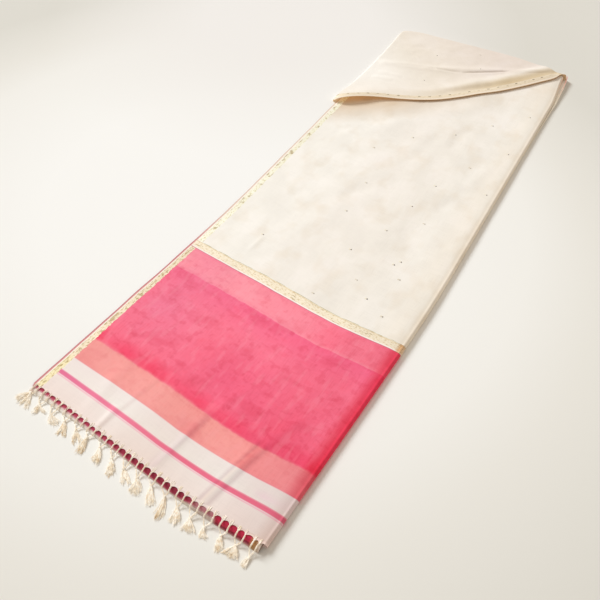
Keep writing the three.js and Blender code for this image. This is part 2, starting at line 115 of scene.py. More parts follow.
# Fringe: where each tassel's tip lies
TASSEL_TIPS = (
    (16, -40), (61, -41), (103, -42), (137, -46), (166, -44), (187, -53), (230, -50), (268, -52),
    (302, -48), (332, -46), (361, -52), (395, -52), (424, -50), (451, -50), (474, -45),
    (509, -48), (535, -46), (561, -46),
)
KNOT_FIRST = 14
KNOT_LAST = 564
KNOT_ALONG = -28
KNOT_HEIGHT = 3.1
LEG_SPREAD = 7.5
LEG_FIRST = 11
LEG_LAST = 566

# Sizes of this scene

CLOTH_THICKNESS = 0.45
FLOOR_CLEAR = 0.02
TOP_EDGE = 9          # the top layer's selvedge lies this far in, so the pink one below it shows
SHOULDER_SHARE = 0.92
FLAT_SHARE = 0.80
TURN_SHARE = 0.985
SHOULDER_POWER = 2.8  # above 2 the fold stays flat for longer, then turns down sharply
PRESSED_EDGE = (5.5, 2.4, 0.9)  # crisp line pressed along the fold: inset, width, height

# Woven bands of the pallu: name, start and end from the knotted end, mesh columns and rows,
# slot, node
BANDS = (
    ("end_band", 0, 89, 330, 34, "cream_cotton", "pallu_end_band"),
    ("salmon_band", 89, 148, 210, 24, "salmon_band", "pallu_salmon_band"),
    ("pink_ground", 148, 408, 210, 92, "deep_pink_ground", "pallu_pink_ground"),
    ("light_band", 408, 471, 210, 24, "light_pink_band", "pallu_light_band"),
    ("zari_band", 471, 500, 210, 12, "zari_gold", "zari_cross_band"),
)
ZARI_BAND_START = 471
ZARI_BAND_END = 500

# How far the bands' edges wander: along, then across and drift
BAND_DRIFT = (
    (0, ((0, 0), (580, 0))),
    (50, ((40, 0), (180, -4), (300, -7.5), (440, -5), (540, 0), (580, 1))),
    (89, ((0, 1), (170, 0), (310, -2.5), (400, 1), (500, 3), (580, 7))),
    (148, ((0, 1), (300, 0), (580, 4))),
    (408, ((0, 4), (260, 2), (390, 6), (580, 5))),
    (471, ((0, 8), (90, 5), (260, 2.5), (390, 9), (470, 6.5), (580, 7))),
    (500, ((0, 4), (130, 1), (260, 4), (390, 5), (580, 2))),
    (700, ((0, 0), (580, 0))),
)

# Creases of the top cloth: from across, along, to across, along, height, width
CREASES = (
    (182, -6, 178, 62, 1.5, 7), (326, -6, 338, 150, 1.4, 8), (438, -6, 462, 140, 1.6, 8),
    (462, 140, 500, 250, 1.2, 12), (338, 150, 372, 250, 0.8, 11), (30, 150, 136, 156, 0.8, 12),
    (133, 540, 136, 610, 0.9, 5), (220, 827, 273, 932, -1.7, 20), (315, 1060, 346, 1241, -1.6, 22),
    (396, 1170, 398, 1291, -1.7, 18), (411, 823, 504, 755, -1.5, 20), (465, 920, 484, 990, -1.3, 15),
    (148, 1130, 273, 1302, 1.6, 26), (273, 1302, 424, 1459, 1.4, 26), (60, 700, 120, 860, 0.9, 24),
    (250, 600, 330, 640, 0.8, 20), (500, 1040, 520, 1180, 1.0, 16), (90, 1010, 110, 1120, 0.8, 18),
)
FLAP_CREASES = (
    (61, 1505, 169, 1549, -1.2, 6), (169, 1549, 274, 1580, -2.2, 5), (274, 1580, 410, 1668, -3.4, 4),
    (65, 1652, 123, 1668, -1.2, 14), (36, 1440, 118, 1452, 1.2, 9), (30, 1400, 100, 1418, 1.2, 9),
    (254, 1452, 354, 1540, 1.6, 13), (354, 1540, 428, 1614, 2.0, 14), (20, 1600, 90, 1610, 0.8, 16),
    (150, 1700, 330, 1726, 0.9, 18),
)
UNEVEN_HEIGHT = 0.75
UNEVEN_SIZE = 70
UNEVEN_STRETCH = 1.6
FINE_SIZE = (22, 30)
FINE_SHARE = 0.3


def lerp(start, end, share):
    return start + (end - start) * share


def clamp(value, low=0.0, high=1.0):
    return max(low, min(high, value))


def smooth(start, end, at):
    share = clamp((at - start) / (end - start))
    return share * share * (3 - 2 * share)


def bump(distance, width):
    return math.exp(-((distance / width) ** 2))


def read_table(table, at, column=1):
    """The value in that column, read between the table's rows by their first one."""
    for low, high in zip(table, table[1:]):
        if at <= high[0]:
            return lerp(low[column], high[column], clamp((at - low[0]) / (high[0] - low[0])))
    return table[-1][column]


def line_distance(across, along, line):
    """Distance from a straight line, and how far along it the nearest point is, from 0 to 1."""
    run = Vector((line[2] - line[0], line[3] - line[1]))
    away = Vector((across - line[0], along - line[1]))
    share = clamp(away.dot(run) / run.length_squared)
    return (away - run * share).length, share


def crease_height(across, along, table, taper=True):
    total = 0.0
    for line in table:
        distance, share = line_distance(across, along, line)
        if distance < 3 * line[5]:
            fade = 1 - (2 * share - 1) ** 4 if taper else 1.0
            total += line[4] * bump(distance, line[5]) * fade
    return total


def unevenness(across, along, seed):
    """Slow waves of cloth that was smoothed by hand."""
    broad = Vector((across / UNEVEN_SIZE, along / (UNEVEN_STRETCH * UNEVEN_SIZE), seed))
    fine = Vector((across / FINE_SIZE[0], along / FINE_SIZE[1], seed + 7))
    return UNEVEN_HEIGHT * noise.noise(broad) + FINE_SHARE * UNEVEN_HEIGHT * noise.noise(fine)


# Form of the strip

def band_drift(across, along):
    """How far the woven bands wander along the cloth from straight lines."""
    return read_table([(at, read_table(line, across)) for at, line in BAND_DRIFT], along)


def bend(along):
    return BEND_SLOPE * BEND_EASE * 0.5 * math.log1p(math.exp(2 * (along - BEND_FROM) / BEND_EASE))


def bow(across, along):
    size = lerp(BOW_AT_EDGE, BOW_INSIDE, smooth(0, BOW_FULL_FROM, along))
    return -size * (1 - smooth(*BOW_FADE, along)) * bump(across - BOW_ACROSS, BOW_WIDTH)


def place_true(across, along, height):
    return Vector((across + bend(along) - FOLDED_WIDTH / 2, along - ORIGIN_ALONG, height))


def place(across, along, height):
    """The same from a place along the weave, which bows and ends on the far fold."""
    drift = read_table(FAR_EDGE, across) - FAR_ALONG
    true_along = along + bow(across, along) + drift * smooth(FAR_EASE_FROM, FAR_ALONG, along)
    true_along += band_drift(across, along)
    return place_true(across, true_along, height)


def stack_width(along):
    return FOLDED_WIDTH - FAR_NARROWING * smooth(NARROW_FROM, FAR_ALONG, along)


def crown_height(across):
    return lerp(LEFT_HEIGHT, RIGHT_HEIGHT, smooth(RISE_FROM, RISE_TO, across))


def soft_folds(across, along):
    total = 0.0
    for at_across, at_along, length, turn, height, width in SOFT_FOLDS:
        cosine = math.cos(math.radians(turn))
        sine = math.sin(math.radians(turn))
        side = (across - at_across) * cosine - (along - at_along) * sine
        run = (across - at_across) * sine + (along - at_along) * cosine
        total += height * bump(side, width) * bump(run, length / 2)
    return total


def top_height(across, along):
    relief = soft_folds(across, along) + crease_height(across, along, CREASES)
    return crown_height(across) + relief + unevenness(across, along, 1.0)


def rounded(out, power):
    """Height share of a rounded side, from 1 on the crown to 0 at its widest."""
    return max(0.0, 1 - clamp(out) ** power) ** (1 / power)


def shoulder_drop(out):
    """Share of the crown's height that is left that far out on the width fold."""
    return WAIST + (1 - WAIST) * rounded(out, SHOULDER_POWER)


def top_section(share, along):
    """Place across and height on the top layer, from its selvedge round the width fold."""
    width = stack_width(along)
    soft = SHOULDER + 7 * noise.noise(Vector((along / 95, 3.1, 0.5)))
    shoulder = width - soft
    crown = top_height(shoulder, along)
    waist = crown * WAIST
    if share <= FLAT_SHARE:
        across = lerp(TOP_EDGE, shoulder, share / FLAT_SHARE)
        edge_wave = 0.7 * noise.noise(Vector((along / 60, 9.0, 0.0))) * (1 - share / FLAT_SHARE) ** 8
        return across + edge_wave, top_height(across, along)
    if share <= SHOULDER_SHARE:
        angle = math.pi / 2 * (share - FLAT_SHARE) / (SHOULDER_SHARE - FLAT_SHARE)
        out = math.sin(angle) ** (2 / SHOULDER_POWER)
        inset, ridge_width, ridge = PRESSED_EDGE
        pressed = ridge * bump(soft * (1 - out) - inset, ridge_width)
        return shoulder + soft * out, waist + (crown - waist) * rounded(out, SHOULDER_POWER) + pressed
    if share <= TURN_SHARE:
        angle = math.pi / 2 * (share - SHOULDER_SHARE) / (TURN_SHARE - SHOULDER_SHARE)
        return width - TURN_UNDER * (1 - math.cos(angle)), waist * (1 - math.sin(angle))
    inner = (share - TURN_SHARE) / (1 - TURN_SHARE)
    return width - TURN_UNDER - TUCK * inner, 0.0


# Pieces

def new_piece(name, data):
    piece = bpy.data.objects.new(name, data)
    scene.collection.objects.link(piece)
    return piece


def mesh_piece(name, form, shaded_round=False):
    """A piece of that form, which is used up."""
    mesh = bpy.data.meshes.new(name)
    form.to_mesh(mesh)
    form.free()
    if shaded_round:
        mesh.polygons.foreach_set("use_smooth", [True] * len(mesh.polygons))
    return new_piece(name, mesh)


def cloth(name, columns, rows, surface, turned=False):
    """A thin shell. surface(column share, row share) gives a point and the row's woven place.
    The UV map holds woven places in mm: x from the first column, y along."""
    grid = bmesh.new()
    bmesh.ops.create_grid(grid, x_segments=columns, y_segments=rows, size=0.5)
    lines = {}
    for vertex in grid.verts:
        column = round((vertex.co.x + 0.5) * columns)
        row = round((vertex.co.y + 0.5) * rows)
        lines.setdefault(row, {})[column] = vertex
    woven = {}
    for row, line in lines.items():
        run = 0.0
        before = None
        for column in range(columns + 1):
            point, woven_row = surface(column / columns, row / rows)
            run += (point - before).length if before else 0.0
            before = point
            line[column].co = point * MM
            woven[line[column]] = (run, woven_row)
    for edge in grid.edges:
        edge.smooth = not edge.is_boundary
    layer = grid.loops.layers.uv.new("woven")
    for face in grid.faces:
        for loop in face.loops:
            loop[layer].uv = woven[loop.vert]
    if turned:
        bmesh.ops.reverse_faces(grid, faces=grid.faces)
    piece = mesh_piece(name, grid, shaded_round=True)
    wall = piece.modifiers.new("cloth wall", "SOLIDIFY")
    wall.thickness = CLOTH_THICKNESS * MM
    wall.offset = -1
    return piece


# Material helpers

# Kinds of node: its type, settings, inputs in the order in which they are given, and output
ADD, SUBTRACT, MULTIPLY, DIVIDE, MULTIPLY_ADD, LESS_THAN, GREATER_THAN, SINE, FRACT, ABSOLUTE = (
    ("ShaderNodeMath", {"operation": name}, (0, 1, 2), 0)
    for name in ("ADD", "SUBTRACT", "MULTIPLY", "DIVIDE", "MULTIPLY_ADD", "LESS_THAN",
                 "GREATER_THAN", "SINE", "FRACT", "ABSOLUTE")
)
BLEND, DEEPEN = (
    ("ShaderNodeMix", {"data_type": "RGBA", "blend_type": name, "clamp_factor": True}, (0, 6, 7), 2)
    for name in ("MIX", "MULTIPLY")
)
RAMP = ("ShaderNodeValToRGB", {}, ("Fac",), 0)
NOISE, FLAT_NOISE = (
    ("ShaderNodeTexNoise", {"noise_dimensions": name}, ("Vector", "Scale", "Detail", "Roughness"), 0)
    for name in ("3D", "2D")
)
UV_PLACE = ("ShaderNodeUVMap", {"uv_map": "woven"}, (), 0)
PLACE_ON_PIECE = ("ShaderNodeTexCoord", {}, (), 3)
SPLIT = ("ShaderNodeSeparateXYZ", {}, ("Vector",), 0)
MAPPING = ("ShaderNodeMapping", {}, ("Vector", "Location", "Scale"), 0)
DISTANCE = ("ShaderNodeVectorMath", {"operation": "DISTANCE"}, (0, 1), "Value")
BUMP = ("ShaderNodeBump", {}, ("Strength", "Distance", "Height"), 0)
SHADER = (
    "ShaderNodeBsdfPrincipled", {},
    ("Base Color", "Roughness", "Sheen Weight", "Specular IOR Level", "Emission Color",
     "Emission Strength", "Metallic", "Normal", "Sheen Roughness"), 0,
)
OUTPUT = ("ShaderNodeOutputMaterial", {}, ("Surface",), 0)


def linear(hex_colour):
    """sRGB hex to a linear colour with alpha."""
    parts = [int(hex_colour[i:i + 2], 16) / 255 for i in (1, 3, 5)]
    return [c / 12.92 if c <= 0.04045 else ((c + 0.055) / 1.055) ** 2.4 for c in parts] + [1.0]


def set_stops(bar, stops):
    bar.elements.remove(bar.elements[1])
    bar.elements[0].position = stops[0][0]
    for position, value in stops:
        element = bar.elements[0] if position == stops[0][0] else bar.elements.new(position)
        element.color = linear(value) if isinstance(value, str) else [value, value, value, 1.0]


def add_node(tree, kind, *values):
    """Adds a node of that kind. A value is for an input, in the kind's order: a number, a hex
    colour, a socket to link from, or None to leave it. A colour ramp's stops come after its
    input, as pairs of a place and a hex colour or grey value."""
    kind_name, settings, inputs, output = kind
    node = tree.nodes.new(kind_name)
    for key, setting in settings.items():
        setattr(node, key, setting)
    for key, value in zip(inputs, values):
        if isinstance(value, bpy.types.NodeSocket):
            tree.links.new(value, node.inputs[key])
        elif value is not None:
            node.inputs[key].default_value = linear(value) if isinstance(value, str) else value
    if kind is RAMP:
        set_stops(node.color_ramp, values[1:])
    return node.outputs[output] if node.outputs else node


def streaks(add, woven, size_across, size_along, detail=2.0, offset=0.0):
    """Noise whose grains are that many mm across and along the weave."""
    scaled = add(MAPPING, woven, (offset, offset * 1.7, offset), (1 / size_across, 1 / size_along, 1))
    return add(FLAT_NOISE, scaled, 1.0, detail, 0.55)


def new_material(name):
    """An empty material, and the function that adds a node to it."""
    material = bpy.data.materials.new(name)
    material.use_nodes = True
    material.node_tree.nodes.clear()
    return material, partial(add_node, material.node_tree)


def woven_material(name):
    """The same, then the function that adds streaks, and the places across and along the weave."""
    material, add = new_material(name)
    woven = add(UV_PLACE)
    split = add(SPLIT, woven).node
    return material, add, partial(streaks, add, woven), split.outputs["X"], split.outputs["Y"]


# Yarns are about 0.35 mm apart in the real cloth, too fine to show, so the weave is drawn at
# 1.3 mm, which the eye takes for a plain handloom weave.
YARN_PITCH = 1.3
YARN_RELIEF = 0.045
SLUB_RELIEF = 0.14
COTTON_ROUGHNESS = 0.82
COTTON_SHEEN = 0.12
COTTON_SHINE = 0.25
ZARI_METAL = 0.12
ZARI_SMOOTHER = -0.25
# Across places are given to colour ramps as shares of this width in mm
RAMP_WIDTH = 600.0
# Painted light: a faint glow where the cloth turns over the width fold, standing in for daylight
# through the cloth
FOLD_GLOW = ((0.93, 0.0), (0.966, 0.18), (1.0, 0.22))


def finish_cotton(add, grain, across, along, colour, zari_mask=None, glow=None):
    """Cotton shader: plain weave and slubs as relief, soft sheen, zari thread where masked.
    glow is how much painted light the cloth gives off there, a glow that stands in for daylight through
    the thin cloth."""
    turns = 2 * math.pi / YARN_PITCH
    warp = add(SINE, add(MULTIPLY, across, turns))
    weft = add(SINE, add(MULTIPLY, along, turns))
    weave = add(MULTIPLY, warp, weft)
    slubs = add(ADD, grain(1.6, 46, 1.0, 3.0), grain(40, 1.8, 1.0, 9.0))
    height = add(MULTIPLY_ADD, weave, YARN_RELIEF, add(MULTIPLY, slubs, SLUB_RELIEF))
    relief = add(BUMP, 0.55, MM, height)
    tone = add(RAMP, add(MULTIPLY, slubs, 0.5), (0.36, 0.96), (0.5, 1.0))
    colour = add(DEEPEN, 1.0, colour, tone)
    metal = None
    roughness = COTTON_ROUGHNESS
    if zari_mask is not None:
        metal = add(MULTIPLY, zari_mask, ZARI_METAL)
        roughness = add(MULTIPLY_ADD, zari_mask, ZARI_SMOOTHER, COTTON_ROUGHNESS)
    glow_colour = None if glow is None else colour
    add(OUTPUT, add(SHADER, colour, roughness, COTTON_SHEEN, COTTON_SHINE, glow_colour, glow,
                    metal, relief, 0.5))


PALE_GOLD = ("#CDBF92", "#E6DDB8", "#F5EFD6", "#F9F5E4", "#F0E8C6")
WARM_GOLD = ("#A88C62", "#D0B88E", "#E4D2B2", "#EDDFC6", "#DCC8A2")
BRIGHT_GOLD = ("#C8AE88", "#E2CFAC", "#EFE0C4", "#F5E9D4", "#EAD8B6")


def zari_colour(add, grain, size_across, size_along, palette, offset=0, fleck_from=0.64):
    """Pale gold thread with flecks where it turns over the cotton."""
    fine = grain(size_across, size_along, 3, 21 + offset)
    gold = add(RAMP, fine, *zip((0.28, 0.37, 0.46, 0.62, 0.72), palette))
    coarse = grain(4 * size_across, 3 * size_along, 2, 55 + offset)
    flecks = add(RAMP, coarse, (fleck_from, 0), (fleck_from + 0.09, 0.75))
    return add(BLEND, flecks, gold, "#AE9562")


def border_mask(add, grain, across, start, end, ragged):
    """1 inside a lengthwise border, whose inner edge is ragged by that many mm."""
    rough = grain(9, 6, 2, 71)
    edge = add(MULTIPLY_ADD, add(SUBTRACT, rough, 0.5), -2 * ragged, across)
    inner = add(LESS_THAN, edge, end)
    outer = add(GREATER_THAN, across, start)
    return add(MULTIPLY, inner, outer)


# Materials

CREAM = "#F3EADD"
WHITE = "#FFFFFF"
WHITE_COTTON = "#F1E9E2"
DEEP_PINK = "#F7708A"
LIGHT_PINK = "#FC99A5"
SALMON = "#F6A49F"


def cotton_pallu():
    """Fine handloom cotton, dyed in bands: clear pinks with the uneven tone of hand dyeing."""
    material, add, grain, across, along = woven_material("handloom_cotton_pallu")
    drift = grain(26, 14, 2, 5)
    soft_edge = add(MULTIPLY_ADD, add(SUBTRACT, drift, 0.5), 5, along)
    crisp = add(DIVIDE, along, ZARI_BAND_END)
    soft = add(DIVIDE, soft_edge, ZARI_BAND_END)

    def by_mm(*stops):
        """Stops whose places are mm from the knotted end."""
        return [(distance / ZARI_BAND_END, value) for distance, value in stops]

    bands = add(RAMP, crisp,
                *by_mm((0, "#F0E1D9"), (41.6, "#F1E5DF"), (42.1, "#F3BAC6"), (43.5, "#F3BAC6"),
                       (44, "#F5DFE0"), (45, "#F5DFE0"), (45.4, "#DF6E8C"), (46.6, "#E77F9A"),
                       (47, "#F284A0"), (54.6, "#F07A98"), (55, "#F4E4E2"), (58, WHITE_COTTON),
                       (88.4, "#F1E6E2"), (89, "#F09AA0"), (92, SALMON), (140, SALMON), (500, SALMON)))
    pinks = add(RAMP, soft,
                *by_mm((144, SALMON), (148, "#F47A8D"), (156, "#F5607C"), (190, DEEP_PINK),
                       (330, "#F8768F"), (401, "#F4688A"), (405, "#F4688A"), (406.5, "#FA96A6"),
                       (409, "#F98E9E"), (416, LIGHT_PINK), (462, "#FB98A5"), (471, "#F78799")))
    sideways = add(DIVIDE, across, RAMP_WIDTH)
    # The light band deepens towards the fold, and the dye lies thicker beside the salmon band
    is_light = add(RAMP, soft, *by_mm((406, 0), (414, 1)))
    to_fold = add(RAMP, sideways, (0.34, 0), (0.42, 0.22), (0.6, 0.36), (0.66, 0.6), (0.74, 0.8),
                  (0.81, 0.62))
    pinks = add(BLEND, add(MULTIPLY, is_light, to_fold), pinks, "#F66F8A")
    beside_salmon = add(RAMP, soft, *by_mm((147, 0), (152, 1), (166, 0.9), (188, 0)))
    thick_dye = add(RAMP, grain(70, 600, 1, 61), (0.42, 0.15), (0.56, 0.9))
    pinks = add(BLEND, add(MULTIPLY, beside_salmon, thick_dye), pinks, "#F4486A")
    # Deeper near the fold, which is painted shade, and in the middle, mauve on the left: colour, stops
    # along, stops across
    for tint, along_stops, across_stops in (
        ("#E74E6C", ((150, 1), (205, 0.8), (270, 0.5), (400, 0.25)),
         ((0.6, 0), (0.7, 0.55), (0.79, 0.9), (0.87, 0.6), (0.92, 0.1))),
        ("#EC5A7A", ((165, 0.3), (220, 1), (275, 0.8), (340, 0)),
         ((0.3, 0), (0.5, 0.8), (0.64, 0.6), (0.76, 0))),
        ("#F27C9A", ((190, 0), (280, 1), (400, 0.5)), ((0, 0.2), (0.12, 0.8), (0.34, 0))),
    ):
        part = add(MULTIPLY, add(RAMP, soft, *by_mm(*along_stops)), add(RAMP, sideways, *across_stops))
        pinks = add(BLEND, part, pinks, tint)
    is_pink = add(RAMP, soft, *by_mm((144, 0), (149, 1)))
    ground = add(BLEND, is_pink, bands, pinks)

    # Painted shade that wanders across the salmon band, where the cloth is creased lengthwise
    in_salmon = add(RAMP, crisp, *by_mm((88.8, 0), (89.2, 1), (143, 1), (150, 0)))
    wander = add(DIVIDE, add(MULTIPLY_ADD, drift, 16, across), RAMP_WIDTH)
    salmon_crease_shade = add(RAMP, wander, (0.04, "#FDF5F6"), (0.16, "#FFFCFC"), (0.36, "#FFFDFC"),
                      (0.545, "#FCF1F2"), (0.565, "#F6E0E4"), (0.59, "#FFF8F6"), (0.74, "#FDF2F2"),
                      (0.765, "#F2CED6"), (0.8, "#F8DEE5"), (0.92, "#F4D6E2"))
    ground = add(DEEPEN, in_salmon, ground, salmon_crease_shade)

    # Hand-dyed unevenness of the pink: broad clouds and blocks of darker yarn
    in_pink = add(RAMP, crisp, *by_mm((86, 0), (95, 0.45), (140, 0.45), (155, 1), (471, 0.8)))
    clouds = add(RAMP, grain(95, 60, 3, 13), (0.32, "#F6DEE4"), (0.47, WHITE), (0.66, "#FFF8F8"))
    blocks = add(RAMP, grain(24, 16, 3, 31), (0.34, "#F8E4E9"), (0.46, WHITE), (0.58, WHITE),
                 (0.72, "#FFF4F6"))
    yarns = add(RAMP, grain(3, 24, 1, 41), (0.33, "#FBF1F3"), (0.44, WHITE), (0.7, WHITE))
    dye = add(DEEPEN, 1, add(DEEPEN, 1, clouds, blocks), yarns)
    ground = add(DEEPEN, in_pink, ground, dye)
    smears = add(RAMP, grain(17, 60, 1, 91), (0.56, 0), (0.7, 0.14))
    ground = add(BLEND, add(MULTIPLY, smears, in_pink), ground, "#FCA8B6")

    # Painted lavender-grey shade beside the creases that run in from the fringe
    slant = add(DIVIDE, add(MULTIPLY_ADD, along, -0.16, across), RAMP_WIDTH)
    shade = add(RAMP, slant, (0, "#FEFAF8"), (0.2, "#FFFCFA"), (0.275, "#FFFEFC"), (0.29, "#F4EEEC"),
                (0.3, "#FDFCFA"), (0.38, "#F9F5F2"), (0.49, "#F8F3F0"), (0.525, "#EFE8EA"),
                (0.535, "#F8F6F4"), (0.694, WHITE), (0.708, "#E2DADC"), (0.717, "#FFFBF6"),
                (0.726, WHITE), (0.738, "#EAE4E6"), (0.752, WHITE))
    # Painted shade in the end band, more grey towards the width fold
    grey_fold_shade = add(RAMP, sideways, (0.3, WHITE), (0.6, "#FBF9F7"), (0.74, "#FBF9F7"), (0.82, "#F4EEEC"),
                 (0.9, "#EFE9E7"))
    near_end = add(RAMP, crisp, *by_mm((0, 1), (60, 1), (150, 0.8), (165, 0)))
    ground = add(DEEPEN, near_end, ground, shade)
    in_end = add(RAMP, crisp, *by_mm((88.8, 1), (89.2, 0)))
    ground = add(DEEPEN, in_end, ground, grey_fold_shade)
    line_tone = add(RAMP, sideways, (0, "#F2E6FA"), (0.3, WHITE), (0.6, "#FBE2E6"))
    is_line = add(RAMP, crisp, *by_mm((45, 0), (45.4, 1), (54.6, 1), (55, 0)))
    ground = add(DEEPEN, is_line, ground, line_tone)
    # A trace of dye from the salmon band on the white one, near the fold
    trace = add(MULTIPLY, add(RAMP, sideways, (0.82, 0), (0.86, 0.35), (0.93, 0.1)),
                add(RAMP, crisp, *by_mm((58, 0), (66, 1), (80, 0))))
    ground = add(BLEND, trace, ground, "#EAB8CC")

    # Painted shade where the cloth turns over the width fold, its colour made deeper partly because the
    # folded layers below show through
    fold_shade_mask = add(RAMP, sideways, (0.898, 0), (0.926, 0.75), (0.95, 1), (0.99, 0.85))
    fold_shade_colour = add(RAMP, crisp,
                 *by_mm((0, "#F8EEE8"), (88.8, "#F6ECEE"), (89.2, "#F2B0C0"), (142, "#F2A4B6"),
                        (150, "#F27C98"), (471, "#F27C98")))
    ground = add(DEEPEN, fold_shade_mask, ground, fold_shade_colour)

    # Zari border along the selvedge
    mask = border_mask(add, grain, across, 2.5, 15, 2.6)
    gold = zari_colour(add, grain, 3.2, 7, WARM_GOLD, 0, 0.57)
    paler = add(RAMP, crisp, *by_mm((84, 1), (94, 0)))
    gold = add(DEEPEN, paler, gold, "#FDFFEC")
    edge = add(LESS_THAN, across, 2.5)
    ground = add(BLEND, edge, ground, "#FAEFE0")
    ground = add(BLEND, mask, ground, gold)
    finish_cotton(add, grain, across, along, ground, mask, add(RAMP, sideways, *FOLD_GLOW))
    return material


def zari_cross_band():
    """Flat metal-wrapped thread woven through cotton: pale gold, with a broken dark outline."""
    material, add, grain, across, along = woven_material("zari_brocade")
    from_pink = add(SUBTRACT, along, ZARI_BAND_START)
    share = add(DIVIDE, from_pink, ZARI_BAND_END - ZARI_BAND_START)
    gold = zari_colour(add, grain, 7, 2.6, BRIGHT_GOLD, 4)
    body = add(RAMP, share, (0, "#B4606E"), (0.05, "#D9A2A2"), (0.08, "#FBF0E8"), (0.17, "#FCF5EA"),
               (0.21, WHITE), (0.8, WHITE), (0.86, "#E9DFC8"), (0.9, WHITE))
    is_gold = add(RAMP, share, (0.15, 0), (0.2, 1), (0.93, 1), (0.97, 0))
    colour = add(DEEPEN, is_gold, body, gold)
    broken = add(RAMP, grain(26, 2, 2, 87), (0.42, 0.25), (0.58, 0.95))
    outline = add(RAMP, share, (0.9, 0), (0.94, 1), (0.985, 1), (1, 0.6))
    outlined = add(MULTIPLY, broken, outline)
    colour = add(BLEND, outlined, colour, "#BDB28E")
    sideways = add(DIVIDE, across, RAMP_WIDTH)
    # Painted warm shade where the band turns over the width fold
    turned = add(RAMP, sideways, (0.925, 0), (0.938, 1), (0.955, 0.6))
    colour = add(DEEPEN, turned, colour, "#E8C09A")
    finish_cotton(add, grain, across, along, colour, is_gold, add(RAMP, sideways, *FOLD_GLOW))
    return material


def cotton_body():
    """Undyed handloom cotton: soft warm cream, matt, with a zari border along its selvedge."""
    material, add, grain, across, along = woven_material("handloom_cotton_cream")
    # Mottled tone of the cotton, which also stands in for the shade of soft relief: partly painted
    # shade
    clouds = grain(85, 110, 3, 17)
    ground = add(RAMP, clouds, (0.34, "#F3EDE3"), (0.5, "#F6F0E6"), (0.64, "#F9F3EA"))
    warm = add(RAMP, grain(60, 80, 2, 27), (0.5, WHITE), (0.75, "#FAF7F3"))
    ground = add(DEEPEN, 1, ground, warm)
    sideways = add(DIVIDE, across, RAMP_WIDTH)
    # Slightly grey across the middle and right of the cloth
    grey_across_width = add(RAMP, sideways, (0.2, WHITE), (0.42, "#F9F7F6"), (0.7, "#F7F5F3"), (0.8, "#FAF9F8"),
               (0.88, "#FBF8F4"))
    ground = add(DEEPEN, 1, ground, grey_across_width)
    # Painted tan shadow under the turned-over hem, which runs on a slant
    below_hem = add(DIVIDE, add(MULTIPLY_ADD, across, -0.78, along), 1400)
    painted_hem_shadow = add(MULTIPLY, add(RAMP, below_hem, (0.765, 0), (0.81, 0.55), (0.85, 1)),
                    add(RAMP, sideways, (0, 1), (0.25, 0.9), (0.5, 0.35), (0.7, 0.15)))
    ground = add(DEEPEN, painted_hem_shadow, ground, "#E2D0BA")
    # Painted warm shade where the cloth turns over the width fold
    turned = add(RAMP, sideways, (0.92, 0), (0.957, 1))
    ground = add(DEEPEN, turned, ground, "#FAF4EA")
    mask = border_mask(add, grain, across, 2.5, 16, 2.8)
    gold = zari_colour(add, grain, 3, 8, PALE_GOLD, 8, 0.59)
    ground = add(BLEND, add(LESS_THAN, across, 2.5), ground, "#FBF5E8")
    ground = add(BLEND, mask, ground, gold)
    finish_cotton(add, grain, across, along, ground, mask, add(RAMP, sideways, *FOLD_GLOW))
    return material


def cotton_triangle():
    """The same cream cotton, with the zari hem that edges the turned-over triangle."""
    material, add, grain, from_hem, along_hem = woven_material("handloom_cotton_hemmed")
    # Darker than the same cotton on the body, which is painted shade over the triangle
    clouds = grain(110, 120, 3, 37)
    ground = add(RAMP, clouds, (0.34, "#E9DECE"), (0.5, "#EDE2D3"), (0.66, "#F0E6D9"))
    # Painted tan shade in the hollow beside the hem, deeper towards the width fold
    along_share = add(DIVIDE, along_hem, 800)
    hollow = add(MULTIPLY,
                 add(RAMP, add(DIVIDE, from_hem, 100), (0.2, 0), (0.3, 1), (0.5, 0.8), (0.72, 0)),
                 add(RAMP, along_share, (0.3, 0), (0.5, 0.5), (0.75, 1), (0.97, 0.9)))
    ground = add(DEEPEN, hollow, ground, "#E1D1B0")
    # Painted light: the left part of the triangle, away from the hem, made brighter
    painted_lit_side = add(MULTIPLY, add(RAMP, along_share, (0, 1), (0.22, 0.9), (0.45, 0)),
                  add(RAMP, add(DIVIDE, from_hem, 200), (0.2, 0), (0.7, 1)))
    ground = add(BLEND, painted_lit_side, ground, "#FBF5EC")
    # Painted shade: darker and more lavender on the far right of the triangle, away from the hem
    cool_far_shade = add(MULTIPLY, add(RAMP, along_share, (0.45, 0), (0.75, 1)),
                 add(RAMP, add(DIVIDE, from_hem, 200), (0.35, 0), (0.5, 1)))
    ground = add(DEEPEN, cool_far_shade, ground, "#F6F2F4")
    mask = border_mask(add, grain, from_hem, 9, 25, 2)
    gold = add(BLEND, 0.7, zari_colour(add, grain, 2.4, 9, WARM_GOLD, 12), "#ECDBC0")
    # Tan selvedge, darkest at its very edge, where a shadow line under the hem is painted
    selvedge = add(RAMP, add(DIVIDE, from_hem, 10), (0, "#B08458"), (0.1, "#CFAE86"), (0.3, "#E6D2B8"),
                   (0.6, "#F0E4D2"), (1, "#E6D0BA"))
    ground = add(BLEND, add(LESS_THAN, from_hem, 9), ground, selvedge)
    ground = add(BLEND, mask, ground, gold)
    # A line of small dashes, 33 mm apart, near the border's inner side
    turn = add(FRACT, add(DIVIDE, along_hem, 33))
    dash = add(LESS_THAN, add(ABSOLUTE, add(SUBTRACT, turn, 0.5)), 0.12)
    lane = add(LESS_THAN, add(ABSOLUTE, add(SUBTRACT, from_hem, 21)), 1.9)
    shown = add(RAMP, grain(400, 45, 1, 7), (0.4, 0.25), (0.55, 0.9))
    dashes = add(MULTIPLY, add(MULTIPLY, dash, lane), shown)
    ground = add(BLEND, dashes, ground, "#867052")
    finish_cotton(add, grain, from_hem, along_hem, ground, mask)
    return material


